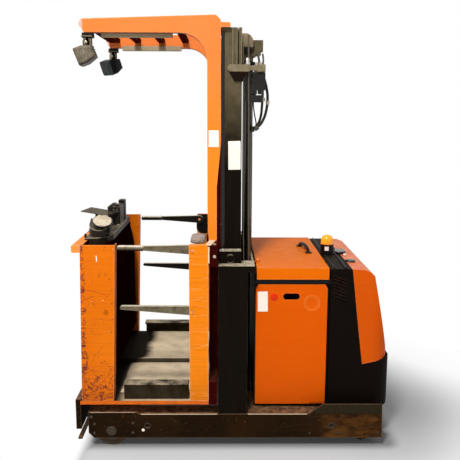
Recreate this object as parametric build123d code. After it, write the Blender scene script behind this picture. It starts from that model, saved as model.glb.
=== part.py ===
from build123d import *
import os

# Order picker truck: low chassis, two-stage mast, rising cab with an overhead guard, battery and power unit.
# Millimetres. +X points from the fork side to the power unit, +Y to the far side, +Z up.
# The origin is on the floor, in the middle of the truck. "near" is the -Y side, "far" is its mirror image.

# Overall
REAR_X = 866.0
FRONT_X = -REAR_X
GUARD_TOP = 2300.0
HALF_WIDTH = 545.0
CAB_HALF_WIDTH = 556.0
BODY_HALF_WIDTH = 456.0
RUNNING_GAP = 6.0
SEAT_GAP = 0.3
PIN_GAP = 0.05
CUT = 1.0

# Chassis frame: legs at the front, raised side skirts at the rear
LEG_FRONT_X = -800.0
FRAME_REAR_X = 808.0
FRAME_BOTTOM = 50.0
LEG_TOP = 187.0
HOUSING_TOP = 197.0
HOUSING_END_X = -537.0
HOUSING_SLOPE = 16.0
LEG_WIDTH = 108.0
LEG_SKIN = 12.0
LEG_NOSE = 30.0
DECK_PLATE = 12.0
SKIRT_TOP = 243.0
SKIRT_START_X = 400.0
SKIRT_RISE = 80.0
SKIRT_LEAN = 5.0
TOWER_FRONT_X = -92.0
TOWER_REAR_X = 65.0
SIDE_HOLES = ((-478.0, 120.0), (527.0, 120.0))
SIDE_HOLE_R = 13.0
SIDE_HOLE_DEPTH = 40.0

# Load wheels in the legs
LOAD_WHEEL_X = -675.0
LOAD_WHEEL_R = 91.0
LOAD_WHEEL_WIDTH = 72.0
LOAD_HUB_R = 62.0
LOAD_AXLE_R = 15.0
LOAD_AXLE_CAP = 7.0
WHEEL_RIM = 14.0
TYRE_BEVEL = 5.0

# Castors under the rear corners
CASTOR_X = 688.0
CASTOR_INSET = 116.0
CASTOR_Y = HALF_WIDTH - CASTOR_INSET
CASTOR_R = 65.0
CASTOR_WIDTH = 44.0
CASTOR_TRAIL = 30.0
CASTOR_AXLE_R = 8.0
CASTOR_STEM_R = 12.0
CASTOR_CHEEK = 6.0
CASTOR_CROWN = 12.0
CASTOR_PLATE = 12.0
CASTOR_PLATE_R = 42.0
CASTOR_HEADROOM = 8.0
CASTOR_BOSS_R = 45.0
CASTOR_FORK_FRONT = 34.0
CASTOR_FORK_BACK = 24.0
CASTOR_CHEEK_LOW = 16.0
CASTOR_TURN = -55.0

# Steered drive unit
DRIVE_X = 668.0
DRIVE_R = 115.0
DRIVE_WIDTH = 75.0
DRIVE_HUB_R = 80.0
DRIVE_AXLE_R = 20.0
DRIVE_BRIDGE_Z = 262.0
DRIVE_BRIDGE_PLATE = 12.0
DRIVE_NECK_R = 80.0
DRIVE_NECK_RISE = 20.0
DRIVE_TOP_GAP = 10.0
DRIVE_DISC_R = 118.0
DRIVE_WELL_R = 130.0
DRIVE_WELL_WALL = 10.0
DRIVE_ARM = 24.0
DRIVE_ARM_HALF = 55.0
MOTOR_R = 85.0
MOTOR_HEIGHT = 270.0

# Mast foot columns and outer mast channels
COLUMN_INSET = 5.0
COLUMN_FACE = HALF_WIDTH - COLUMN_INSET
OUTER_FACE = 400.0
COLUMN_INNER = OUTER_FACE + 2.0
COLUMN_TOP = 980.0
COLUMN_FLANGE = 32.0
COLUMN_WALL = 12.0
FLANGE_FRONT_X = -93.0
FLANGE_REAR_X = 101.0
LUG_HEIGHT = 66.0
LUG_DEPTH = 70.0
LUG_REACH = 12.0
OUTER_FRONT_X = -74.0
OUTER_REAR_X = 30.0
OUTER_TIP = 328.0
OUTER_WALL = 12.0
OUTER_TOP = 2240.0
OUTER_RECESS = 14.0
OUTER_RECESS_DEPTH = 8.0
OUTER_CAP = 18.0
OUTER_SLOT_X = (4.0, 14.0)
BRACKET_FRONT_X = -46.0
BRACKET_REAR_X = 152.0
BRACKET_BOTTOM = 2018.0
BRACKET_TOP = 2054.0
BRACKET_BAR = 38.0
BRACKET_DEPTH = 14.0
BRACKET_ROUND = 18.0
BRACKET_WAIST_X = (71.0, 107.0)
BRACKET_WAIST = 6.0
GUSSET_X = (-38.0, 61.0)
GUSSET_DROP = 50.0
GUSSET_DEPTH = 10.0
GUSSET_SLANT = 28.0
ANCHOR_BAR_X = 91.0
ANCHOR_BAR_THICK = 12.0
ANCHOR_BAR_TOP = 1000.0
ANCHOR_BAR_HEIGHT = 40.0

# Inner mast
INNER_WALL = 10.0
INNER_TIP = 312.0
INNER_BOTTOM = 205.0
INNER_TOP = 2240.0
MAST_TIE = 12.0
LOW_TIE_HEIGHT = 125.0
LOW_TIE = (INNER_BOTTOM, INNER_BOTTOM + LOW_TIE_HEIGHT)
MIDDLE_TIE = (1080.0, 1180.0)
CROSSHEAD_BOTTOM = 2075.0
CROSSHEAD_HEIGHT = 38.0
CROSSHEAD_REAR_X = 84.0

# Lift cylinders, pulleys, chains, pipes
CYLINDER_X = 70.0
CYLINDER_Y = 230.0
BARREL_R = 18.0
BARREL_WALL = 3.0
BARREL_TOP = 2040.0
BARREL_RING_R = 20.0
BARREL_RING = 14.0
BARREL_FOOT = 20.0
BARREL_GLAND = 30.0
ROD_R = 12.5
ROD_BOTTOM = 240.0
PULLEY_X = 46.0
PULLEY_Y = 110.0
PULLEY_Z = 2192.0
PULLEY_R = 52.0
PULLEY_WIDTH = 24.0
PULLEY_SHAFT_R = 12.0
CHEEK_PLATE = 8.0
CHEEK_GAP = 4.0
CHEEK_FRONT_X = 24.0
CHEEK_REAR_X = 154.0
CHEEK_BOTTOM = 2153.0
CHEEK_TOP = 2206.0
CHEEK_LIP = 10.0
CHAIN_THICK = 8.0
CHAIN_WIDTH = 16.0
CHAIN_FRONT_END = 880.0
CHAIN_LUG = 24.0
PIPE_R = 7.0
HOSE_R = 7.5
THIN_PIPE_R = 3.5
PIPE_Y = -230.0
HOSE_Y = -250.0
THIN_PIPE_Y = -214.0
FITTING_X = (84.0, 104.0)
FITTING_Z = (1704.0, 1734.0)
FITTING_MARGIN = 4.0
PIPE_ROUTE = ((141.0, 2024.0), (147.0, 1965.0), (149.0, 1908.0), (146.0, 1848.0), (142.0, 1795.0),
              (129.0, 1750.0), (104.0, 1722.0))
HOSE_ROUTE = ((144.0, 2024.0), (163.0, 1966.0), (175.0, 1908.0), (174.0, 1848.0), (162.0, 1790.0),
              (139.0, 1744.0), (104.0, 1718.0))
THIN_PIPE_ROUTE = ((121.0, 2024.0), (103.0, 1966.0), (98.0, 1906.0), (98.5, 1846.0), (107.0, 1790.0),
                   (117.0, 1745.0), (104.0, 1714.0))

# Battery body, lid, doors
BODY_FRONT_X = 104.0
BULKHEAD = 8.0
BATTERY_BAY_REAR_X = 516.0
LID_FRONT_X = 116.0
LID_REAR_X = 507.0
LID_TOP = 984.0
LID_SKIN = 6.0
LID_DEPTH = 64.0
LID_HANDLE = (70.0, 46.0, 90.0, 16.0)
HINGE_X = 112.0
HINGE_Z = 980.0
HINGE_Y = 300.0
HINGE_PIN_R = 4.0
HINGE_KNUCKLE_R = 7.0
HINGE_KNUCKLE = 24.0
HINGE_LUG = 14.0
HINGE_SIDE = 2.0
HINGE_PLATE = 40.0
LID_NOTCH = 20.0
LID_OPEN = 30.0
DOOR_FRONT_X = 112.0
DOOR_REAR_X = 502.0
DOOR_BOTTOM = 206.0
DOOR_TOP = 892.0
DOOR_SKIN = 6.0
DOOR_EDGE = 5.0
DOOR_DEPTH = 26.0
DOOR_NOTCH = 24.0
DOOR_HOOK = 50.0
DOOR_HOOK_IN = 40.0
DOOR_HOOK_DROP = 12.0
DOOR_HOOK_REACH = 22.0
SILL_LIP = 20.0
RAIL_GAP = 3.0
SLOT_X = 305.0
SLOT_Z = 825.0
SLOT_WIDTH = 92.0
SLOT_HEIGHT = 38.0
BATTERY_SIZE = (365.0, 800.0, 627.0)
BATTERY_GAP = 10.0

# Power unit: black housing and orange rear cover
SPLIT_TOP_X = 632.0
SPLIT_BOTTOM_X = 700.0
HOUSING_SKIN = 6.0
UNIT_TOP = 978.0
TUB_TOP_FRONT = 440.0
TUB_TOP_REAR = 470.0
TUB_LAP = 80.0
TUB_NOSE = (12.0, 30.0)
COVER_TOP_REAR_X = 757.0
COVER_TOP_FALL = 16.0
COVER_CREST_X = 700.0
COVER_BASE_REAR_X = 852.0
PLAN_CORNER_R = 100.0
COVER_SEAM = 0.3
COVER_TOP_BEVEL = 24.0
GRILLE_X = (530.0, 600.0)
GRILLE_Z = (820.0, 940.0)
GRILLE_SLOTS = 7
GRILLE_SLOT = 8.0
GRILLE_RISE = 26.0
BEACON_X = 553.0
BEACON_Y = -60.0
BEACON_R = 39.0
BEACON_BASE = 62.0
BEACON_DOME = 56.0
BEACON_ROUND = 32.0
BEACON_STEP = 3.0

# Cab floor, sprung platform on the far half, side panels, posts
CAB_FRONT_X = -838.0
CAB_REAR_X = -144.0
FLOOR_BOTTOM = 248.0
FLOOR_PLATE = 22.0
FLOOR_TOP = FLOOR_BOTTOM + FLOOR_PLATE
MAT_THICK = 5.0
MAT_FRONT_X = -636.0
PLATFORM_FRONT_X = -730.0
PLATFORM_TOP = 303.0
PANEL_FRONT_TOP_X = -812.0
PANEL_FRONT_LOW_X = -828.0
PANEL_REAR_TOP_X = -630.0
PANEL_REAR_LOW_X = -655.0
PANEL_TOP = 1126.0
PANEL_THICK = 12.0
RETURN_DEPTH = 68.0
RETURN_THICK = 4.0
POST_FRONT_X = -245.0
POST_REAR_X = -149.0
POST_TOP = 1131.0
POST_CORNER = 8.0
POST_LAP = 10.0
POST_THICK = 20.0
PAD_X = (-243.0, -158.0)
PAD_Y = (-CAB_HALF_WIDTH + 56.0, -CAB_HALF_WIDTH + 231.0)
PAD_Z = (POST_TOP - 12.0, POST_TOP + 24.0)
PAD_ROUND = 14.0
PAD_BRACKET_WIDTH = 60.0
PAD_BRACKET_Z = (PAD_Z[0] - 39.0, PAD_Z[1] - 8.0)
BACK_RAIL_BOTTOM = 1090.0
BACK_FRAME_DEPTH = 46.0
BACK_TOP_BEAM = 110.0
BACK_LOW_BEAM = 130.0
BACK_UPRIGHT = 60.0
BACK_STRAP_HALF = 26.0
CARRIAGE_PLATE = 16.0
CARRIAGE_TOP = 960.0
CARRIAGE_BOTTOM = 300.0
CARRIAGE_PIN_R = 12.0
ROLLER_LEVELS = (360.0, 900.0)

# Console: front wall, trunk with a bulging face, orange collar and the dash on top
CONSOLE_FRONT_X = -800.0
CONSOLE_WALL = 10.0
TRUNK_HALF = 410.0
TRUNK_NECK_X = -680.0
TRUNK_FACE_X = -650.0
TRUNK_TOE_X = -733.0
TRUNK_NECK_Z = 1070.0
TRUNK_BULGE_Z = 950.0
TRUNK_TOE_Z = 420.0
TRUNK_BOTTOM = 310.0
TRUNK_ROUND = 60.0
TRUNK_SKIN = 14.0
COLLAR_FRONT_X = -857.0
COLLAR_DEPTH = 40.0
COLLAR_ROUND = 8.0
COLLAR_SHELF = 16.0
COLLAR_GAP = 1.0
DASH_FRONT_X = -815.0
DASH_REAR_X = -684.0
DASH_PLATE = 12.0
DASH_SKIRT = 28.0
DASH_NEAR_CORNER = ((-748.0, 10.0), (-706.0, 66.0), (-684.0, 160.0))
DASH_ROUND = 30.0

# Controls on the dash
POD_X = (-800.0, -690.0)
POD_Y = (-386.0, -284.0)
POD_NEAR_RISE = 35.0
POD_SLOPE = 0.5
DISC_CENTRE = (-728.0, -345.0, PANEL_TOP + 90.0)
DISC_AXIS = (0.108, -0.451, 0.886)
DISC_R = 55.0
DISC_THICK = 14.0
SPINDLE_R = 10.0
SPINDLE_DEPTH = 50.0
BOARD_PLAN = ((-861.0, -270.0), (-714.0, -270.0), (-739.0, -80.0), (-839.0, -80.0))
BOARD_LOW = PANEL_TOP + 114.0
BOARD_SLOPE = 0.17
BOARD_THICK = 4.0
BOARD_STEM_R = 9.0
BOARD_STEM_X = -790.0
BOARD_STEM_Y = -175.0
BLOCK_X = (-766.0, -690.0)
BLOCK_Y = (30.0, 200.0)
BLOCK_TOP = PANEL_TOP + 120.0
BLOCK_ROUND = 12.0
LEVER_X = (-730.0, -690.0)
LEVER_Y = (225.0, 300.0)
LEVER_TOP = PANEL_TOP + 136.0
KNOB_CENTRE = (-739.0, -15.0, PANEL_TOP + 80.0)
KNOB_R = 17.0
KNOB_STEM_R = 6.0

# Gate arms and toe boards
ARM_GAP = 3.0
ARM_THICK = 25.0
ARM_ROOT_R = 25.0
ARM_TIP_R = 9.0
ARM_PIN_R = 8.0
ARM_PIN_HEAD = 6.0
UPPER_PIVOT = (-228.0, 1098.0)
UPPER_TIP = (-611.0, 1105.0)
UPPER_TUBE = 128.0
UPPER_TUBE_R = 12.0
LOWER_PIVOT = (-231.0, 767.0)
LOWER_TIP = (-605.0, 783.0)
TOE_FRONT_X = -603.0
TOE_REAR_X = -251.0
TOE_HEIGHT = 82.0
TOE_DEPTH = 75.0
TOE_PLATE = 10.0

# Overhead guard and work lights
GUARD_FACE = 425.0
GUARD_BEAM = 40.0
GUARD_TIP_X = -797.0
GUARD_TIP_TOP = GUARD_TOP - 23.0
GUARD_TIP_MIDDLE = GUARD_TOP - 49.0
GUARD_TIP_NOSE = 11.0
GUARD_TIP_BACK = 15.0
GUARD_BEAM_BOTTOM = GUARD_TOP - 92.0
GUARD_FILLET = 140.0
GUARD_UP_FRONT_X = -151.0
GUARD_UP_REAR_X = -80.0
GUARD_LOW_REAR_X = -101.0
GUARD_WIDE_Z = 1640.0
GUARD_NARROW_Z = 1420.0
GUARD_FOOT_Z = 1300.0
GUARD_CORNER = 26.0
GUARD_BASE = 1126.0
GUARD_FRONT_BAR_X = (-786.0, -716.0)
GUARD_BARS_X = (-605.0, -455.0, -306.0)
GUARD_BAR = (40.0, 24.0)
GUARD_BAR_DROP = 60.0
GUARD_LOW_FRONT_X = -144.0
GUARD_PANEL_DROP = 60.0
GUARD_BLOCK_HALF = 162.0
GUARD_BLOCK_REAR_X = -35.0
GUARD_BLOCK_THICK = 36.0
GUARD_BLOCK_DROP = 2.0
STRIP_FRONT_X = -700.0
STRIP_REAR_X = -331.0
STRIP_DEPTH = 36.0
STRIP_HEIGHT = 30.0
STRIP_DROP = 18.0
LIGHT_X = -776.0
LIGHT_DROP = 109.0
LIGHT_TILT = 21.0
LIGHT_FAR_TURN = -42.0
LIGHT_SIZE = (120.0, 92.0)
LIGHT_RIM = 40.0
LIGHT_FRONT = 44.0
LIGHT_BACK = 46.0
LIGHT_TAPER = 14.0
LIGHT_ROUND = 16.0
LIGHT_BACK_ROUND = 10.0
LIGHT_BLOCK_X = (-792.0, -733.0)
LIGHT_BLOCK_HEIGHT = 26.0
LIGHT_STEM_X = (-772.0, -744.0)
LIGHT_STEM_HALF = 16.0

# Fork carriage at the cab's front (the forks themselves are missing)
CARRIAGE_THICK = 28.0
CARRIAGE_LOW = 101.0
CARRIAGE_HIGH = 272.0
HOOK_RAIL_Z = (35.0, 47.0)
HOOK_RAIL_INSET = 15.0
HOOK_RAIL_SET = 4.0
HOOK_Y = 240.0
HOOK_WIDTH = 60.0


def slab(x, y, z):
    """A block between the low and high values of each axis."""
    size = (x[1] - x[0], y[1] - y[0], z[1] - z[0])
    middle = ((x[0] + x[1]) / 2, (y[0] + y[1]) / 2, (z[0] + z[1]) / 2)
    return Pos(*middle) * Box(*size)


def rod_x(y, z, radius, x0, x1):
    """A round bar along X."""
    return Pos((x0 + x1) / 2, y, z) * Rot(0, 90, 0) * Cylinder(radius, x1 - x0)


def rod_y(x, z, radius, y0, y1):
    """A round bar along Y."""
    return Pos(x, (y0 + y1) / 2, z) * Rot(90, 0, 0) * Cylinder(radius, y1 - y0)


def rod_z(x, y, radius, z0, z1):
    """A round bar along Z."""
    return Pos(x, y, (z0 + z1) / 2) * Cylinder(radius, z1 - z0)


def plate_xz(points, y0, y1):
    """A plate with its outline in the XZ plane."""
    outline = Polyline(*[(x, y0, z) for x, z in points], close=True)
    return extrude(make_face(outline), amount=y1 - y0, dir=(0, 1, 0))


def plate_yz(points, x0, x1):
    """A plate with its outline in the YZ plane."""
    outline = Polyline(*[(x0, y, z) for y, z in points], close=True)
    return extrude(make_face(outline), amount=x1 - x0, dir=(1, 0, 0))


def plate_xy(points, z0, z1):
    """A plate with its outline in the XY plane."""
    outline = Polyline(*[(x, y, z0) for x, y in points], close=True)
    return extrude(make_face(outline), amount=z1 - z0, dir=(0, 0, 1))


def mirrored(shape):
    """The same piece on the far side."""
    return mirror(shape, about=Plane.XZ)


def both(shape):
    """A near piece and its far twin."""
    return shape + mirrored(shape)


def pair(near, far=None):
    """A near piece and a far one as separate solids; the far one is the near one's twin if none is given."""
    return Compound(children=[near, mirrored(near) if far is None else far])


# Chassis frame: two legs with wheel housings, the mast's cross beam, the deck and the drive unit's well
def make_frame():
    inner = HALF_WIDTH - LEG_WIDTH
    leg_outline = [
        (LEG_FRONT_X, FRAME_BOTTOM + LEG_NOSE), (LEG_FRONT_X, HOUSING_TOP), (HOUSING_END_X, HOUSING_TOP),
        (HOUSING_END_X + HOUSING_SLOPE, LEG_TOP), (TOWER_REAR_X, LEG_TOP), (TOWER_REAR_X, FRAME_BOTTOM),
        (LEG_FRONT_X + LEG_NOSE, FRAME_BOTTOM),
    ]
    leg = plate_xz(leg_outline, -HALF_WIDTH, -inner)
    reach = LOAD_WHEEL_R + 2 * RUNNING_GAP
    pocket_top = 2 * LOAD_WHEEL_R + RUNNING_GAP
    leg -= slab((LOAD_WHEEL_X - reach, LOAD_WHEEL_X + reach), (-HALF_WIDTH + LEG_SKIN, -inner - LEG_SKIN),
                (0, pocket_top))
    leg -= rod_y(LOAD_WHEEL_X, LOAD_WHEEL_R, LOAD_AXLE_R + PIN_GAP, -HALF_WIDTH - CUT, -inner + CUT)
    skirt_outline = [
        (TOWER_REAR_X, FRAME_BOTTOM), (TOWER_REAR_X, LEG_TOP), (SKIRT_START_X, LEG_TOP),
        (SKIRT_START_X + SKIRT_RISE, SKIRT_TOP), (FRAME_REAR_X - SKIRT_LEAN, SKIRT_TOP), (FRAME_REAR_X, FRAME_BOTTOM),
    ]
    frame = both(leg + plate_xz(skirt_outline, -HALF_WIDTH, -HALF_WIDTH + LEG_SKIN))
    frame += slab((TOWER_FRONT_X, TOWER_REAR_X), (-inner, inner), (FRAME_BOTTOM, LEG_TOP))
    deck_y = HALF_WIDTH - LEG_SKIN
    rear = FRAME_REAR_X - SKIRT_LEAN
    frame += slab((TOWER_REAR_X, rear), (-deck_y, deck_y), (LEG_TOP - DECK_PLATE, LEG_TOP))
    frame += slab((rear - LEG_SKIN, rear), (-deck_y, deck_y), (FRAME_BOTTOM, LEG_TOP))
    bridge_top = DRIVE_BRIDGE_Z + DRIVE_BRIDGE_PLATE
    well_r = DRIVE_WELL_R + DRIVE_WELL_WALL
    frame += rod_z(DRIVE_X, 0, well_r, LEG_TOP - DECK_PLATE, bridge_top)
    frame -= rod_z(DRIVE_X, 0, DRIVE_WELL_R, 0, DRIVE_BRIDGE_Z)
    frame -= rod_z(DRIVE_X, 0, DRIVE_NECK_R + PIN_GAP, 0, bridge_top + CUT)
    boss_bottom = 2 * CASTOR_R + CASTOR_HEADROOM + CASTOR_CROWN + CASTOR_PLATE + SEAT_GAP
    for side_sign in (-1, 1):
        frame += rod_z(CASTOR_X, side_sign * CASTOR_Y, CASTOR_BOSS_R, boss_bottom, LEG_TOP - DECK_PLATE)
        frame -= rod_z(CASTOR_X, side_sign * CASTOR_Y, CASTOR_STEM_R + PIN_GAP, 0, LEG_TOP + CUT)
        for hole_x, hole_z in SIDE_HOLES:
            start = side_sign * (HALF_WIDTH + CUT)
            end = side_sign * (HALF_WIDTH - SIDE_HOLE_DEPTH)
            frame -= rod_y(hole_x, hole_z, SIDE_HOLE_R, min(start, end), max(start, end))
    return frame


def make_wheel(x, y, radius, width, hub_r, bore_r):
    """Hub and tyre of one wheel, both with their axis along Y."""
    z = radius
    low, high = y - width / 2, y + width / 2
    hub = rod_y(x, z, hub_r, low, high)
    hub -= rod_y(x, z, hub_r - WHEEL_RIM, high - WHEEL_RIM, high + CUT)
    hub -= rod_y(x, z, hub_r - WHEEL_RIM, low - CUT, low + WHEEL_RIM)
    hub += rod_y(x, z, bore_r + WHEEL_RIM, low, high)
    hub -= rod_y(x, z, bore_r, low - CUT, high + CUT)
    tyre = rod_y(x, z, radius, low, high)
    tyre = chamfer(tyre.edges().filter_by(GeomType.CIRCLE), TYRE_BEVEL)
    tyre -= rod_y(x, z, hub_r, low - CUT, high + CUT)
    return hub, tyre


def load_wheel_y():
    """Middle of the near load wheel, centred in its leg's pocket."""
    return -HALF_WIDTH + LEG_WIDTH / 2


def make_load_axle():
    inner = HALF_WIDTH - LEG_WIDTH
    axle = rod_y(LOAD_WHEEL_X, LOAD_WHEEL_R, LOAD_AXLE_R, -HALF_WIDTH, -inner)
    cap_r = LOAD_AXLE_R + LOAD_AXLE_CAP
    return axle + rod_y(LOAD_WHEEL_X, LOAD_WHEEL_R, cap_r, -HALF_WIDTH - LOAD_AXLE_CAP, -HALF_WIDTH)


def make_castor(side_sign):
    """Swivel fork and wheel of one castor, turned by CASTOR_TURN from trailing to the rear."""
    half = CASTOR_WIDTH / 2 + RUNNING_GAP
    outer = half + CASTOR_CHEEK
    crown = 2 * CASTOR_R + CASTOR_HEADROOM
    top = crown + CASTOR_CROWN
    back = CASTOR_TRAIL + CASTOR_FORK_BACK
    fork = slab((-CASTOR_FORK_FRONT, back), (-outer, outer), (crown, top))
    cheek = [
        (-CASTOR_FORK_BACK, crown), (back, crown), (CASTOR_TRAIL + CASTOR_CHEEK_LOW, CASTOR_R - CASTOR_CHEEK_LOW),
        (CASTOR_TRAIL - CASTOR_CHEEK_LOW, CASTOR_R - CASTOR_CHEEK_LOW),
    ]
    for low in (-outer, half):
        fork += plate_xz(cheek, low, low + CASTOR_CHEEK)
    fork += rod_z(0, 0, CASTOR_PLATE_R, top, top + CASTOR_PLATE)
    fork += rod_z(0, 0, CASTOR_STEM_R, top, LEG_TOP - CUT)
    fork += rod_y(CASTOR_TRAIL, CASTOR_R, CASTOR_AXLE_R, -outer, outer)
    wheel = rod_y(CASTOR_TRAIL, CASTOR_R, CASTOR_R, -CASTOR_WIDTH / 2, CASTOR_WIDTH / 2)
    wheel = chamfer(wheel.edges().filter_by(GeomType.CIRCLE), TYRE_BEVEL)
    wheel -= rod_y(CASTOR_TRAIL, CASTOR_R, CASTOR_AXLE_R + PIN_GAP, -CASTOR_WIDTH, CASTOR_WIDTH)
    place = Pos(CASTOR_X, side_sign * CASTOR_Y, 0) * Rot(0, 0, CASTOR_TURN)
    return place * fork, place * wheel


def make_drive_unit():
    """Turntable disc, neck, carrying flange, gear arm and wheel axle, and the motor block on top."""
    half = DRIVE_WIDTH / 2
    arm_y = half + RUNNING_GAP
    disc_top = DRIVE_BRIDGE_Z - SEAT_GAP
    disc_bottom = 2 * DRIVE_R + DRIVE_TOP_GAP
    neck_top = DRIVE_BRIDGE_Z + DRIVE_BRIDGE_PLATE + DRIVE_NECK_RISE
    unit = rod_z(DRIVE_X, 0, DRIVE_DISC_R, disc_bottom, disc_top)
    unit += rod_z(DRIVE_X, 0, DRIVE_NECK_R, disc_top, neck_top)
    unit += slab((DRIVE_X - DRIVE_ARM_HALF, DRIVE_X + DRIVE_ARM_HALF), (arm_y, arm_y + DRIVE_ARM),
                 (DRIVE_R, disc_bottom))
    unit += rod_y(DRIVE_X, DRIVE_R, DRIVE_ARM_HALF, arm_y, arm_y + DRIVE_ARM)
    unit += rod_y(DRIVE_X, DRIVE_R, DRIVE_AXLE_R, -half, arm_y)
    motor = rod_z(DRIVE_X, 0, MOTOR_R, neck_top, neck_top + MOTOR_HEIGHT)
    return unit, motor


# Outer mast: foot columns with flanges, channels open to the middle, and the two cross bars behind them
def make_outer_mast():
    column = slab((TOWER_FRONT_X, TOWER_REAR_X), (-COLUMN_FACE, -COLUMN_INNER), (LEG_TOP, COLUMN_TOP))
    column -= slab((TOWER_FRONT_X + COLUMN_WALL, TOWER_REAR_X - COLUMN_WALL),
                   (-COLUMN_FACE + COLUMN_WALL, -COLUMN_INNER - COLUMN_WALL),
                   (LEG_TOP - CUT, COLUMN_TOP - COLUMN_WALL))
    flange_top = COLUMN_TOP + COLUMN_FLANGE
    side = column + slab((FLANGE_FRONT_X, FLANGE_REAR_X), (-COLUMN_FACE, -OUTER_FACE), (COLUMN_TOP, flange_top))
    side += slab((OUTER_FRONT_X, OUTER_REAR_X), (-COLUMN_INNER, -OUTER_FACE), (LEG_TOP, COLUMN_TOP))
    side += slab((OUTER_FRONT_X - LUG_REACH, OUTER_REAR_X), (-OUTER_FACE - LUG_DEPTH, -OUTER_FACE),
                 (flange_top, flange_top + LUG_HEIGHT))
    web = slab((OUTER_FRONT_X, OUTER_REAR_X), (-OUTER_FACE, -OUTER_TIP), (LEG_TOP, OUTER_TOP))
    web -= slab((OUTER_FRONT_X + OUTER_WALL, OUTER_REAR_X - OUTER_WALL), (-OUTER_FACE + OUTER_WALL, 0),
                (LEG_TOP - CUT, OUTER_TOP + CUT))
    recess_y = (-OUTER_FACE - CUT, -OUTER_FACE + OUTER_RECESS_DEPTH)
    web -= slab((OUTER_FRONT_X - CUT, OUTER_FRONT_X + OUTER_RECESS), recess_y,
                (flange_top + LUG_HEIGHT, OUTER_TOP - OUTER_CAP))
    web -= slab(OUTER_SLOT_X, (-OUTER_FACE - CUT, -OUTER_FACE + OUTER_WALL + CUT), (BRACKET_TOP, OUTER_TOP + CUT))
    side += web
    side += slab((BRACKET_FRONT_X + BRACKET_ROUND, BRACKET_WAIST_X[0]), (-OUTER_FACE - BRACKET_DEPTH, -OUTER_FACE),
                 (BRACKET_BOTTOM, BRACKET_TOP))
    side += rod_y(BRACKET_FRONT_X + BRACKET_ROUND, (BRACKET_BOTTOM + BRACKET_TOP) / 2, BRACKET_ROUND,
                  -OUTER_FACE - BRACKET_DEPTH, -OUTER_FACE)
    side += slab(BRACKET_WAIST_X, (-OUTER_FACE - BRACKET_DEPTH, -OUTER_FACE + OUTER_WALL),
                 (BRACKET_BOTTOM + BRACKET_WAIST, BRACKET_TOP - BRACKET_WAIST))
    side += slab((OUTER_REAR_X, BRACKET_WAIST_X[0]), (-OUTER_FACE, -OUTER_FACE + OUTER_WALL),
                 (BRACKET_BOTTOM, BRACKET_TOP))
    side += slab((BRACKET_WAIST_X[1], BRACKET_REAR_X), (-OUTER_FACE - BRACKET_DEPTH, -OUTER_FACE + OUTER_WALL),
                 (BRACKET_BOTTOM, BRACKET_TOP))
    gusset_low = BRACKET_BOTTOM - GUSSET_DROP
    gusset = [(GUSSET_X[0], BRACKET_BOTTOM), (GUSSET_X[1], BRACKET_BOTTOM),
              (GUSSET_X[1] - GUSSET_SLANT, gusset_low), (GUSSET_X[0] + GUSSET_SLANT, gusset_low)]
    side += plate_xz(gusset, -OUTER_FACE - GUSSET_DEPTH, -OUTER_FACE)
    bar_z = (ANCHOR_BAR_TOP - ANCHOR_BAR_HEIGHT, ANCHOR_BAR_TOP)
    side += slab((OUTER_REAR_X, ANCHOR_BAR_X), (-OUTER_FACE, -OUTER_FACE + OUTER_WALL), bar_z)
    mast = both(side)
    mast += slab((BRACKET_REAR_X - BRACKET_BAR, BRACKET_REAR_X), (-OUTER_FACE, OUTER_FACE),
                 (BRACKET_BOTTOM, BRACKET_TOP))
    mast += slab((ANCHOR_BAR_X, ANCHOR_BAR_X + ANCHOR_BAR_THICK), (-OUTER_FACE, OUTER_FACE), bar_z)
    return mast


def make_inner_mast():
    """Two channels inside the outer ones, tied by plates, with the crosshead and the pulley blocks."""
    front = OUTER_FRONT_X + OUTER_WALL + RUNNING_GAP
    rear = OUTER_REAR_X - OUTER_WALL - RUNNING_GAP
    face = OUTER_FACE - OUTER_WALL - RUNNING_GAP
    channel = slab((front, rear), (-face, -INNER_TIP), (INNER_BOTTOM, INNER_TOP))
    channel -= slab((front + INNER_WALL, rear - INNER_WALL), (-face + INNER_WALL, 0),
                    (INNER_BOTTOM - CUT, INNER_TOP + CUT))
    mast = both(channel)
    tie_y = OUTER_TIP - RUNNING_GAP
    for low, high in (LOW_TIE, MIDDLE_TIE, (CROSSHEAD_BOTTOM, INNER_TOP)):
        mast += slab((rear, rear + MAST_TIE), (-tie_y, tie_y), (low, high))
    crosshead_top = CROSSHEAD_BOTTOM + CROSSHEAD_HEIGHT
    mast += slab((rear, CROSSHEAD_REAR_X), (-tie_y, tie_y), (CROSSHEAD_BOTTOM, crosshead_top))
    inner_gap = PULLEY_WIDTH / 2 + CHEEK_GAP
    lane = inner_gap + CHEEK_GAP
    cheek_outline = [
        (CHEEK_FRONT_X, crosshead_top), (CROSSHEAD_REAR_X, crosshead_top), (CHEEK_REAR_X, CHEEK_BOTTOM),
        (CHEEK_REAR_X, CHEEK_TOP), (CHEEK_FRONT_X, CHEEK_TOP),
    ]
    for side_sign in (-1, 1):
        middle = side_sign * PULLEY_Y
        mast -= slab((rear - CUT, rear + MAST_TIE + CUT), (middle - lane, middle + lane),
                     (crosshead_top, INNER_TOP + CUT))
        for low in (middle - inner_gap - CHEEK_PLATE, middle + inner_gap):
            mast += plate_xz(cheek_outline, low, low + CHEEK_PLATE)
        reach = inner_gap + CHEEK_PLATE
        mast += slab((CHEEK_REAR_X - CHEEK_LIP, CHEEK_REAR_X), (middle - reach, middle + reach),
                     (CHEEK_BOTTOM - CHEEK_LIP, CHEEK_TOP))
        mast += rod_y(PULLEY_X, PULLEY_Z, PULLEY_SHAFT_R, middle - reach, middle + reach)
    return mast


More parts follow.
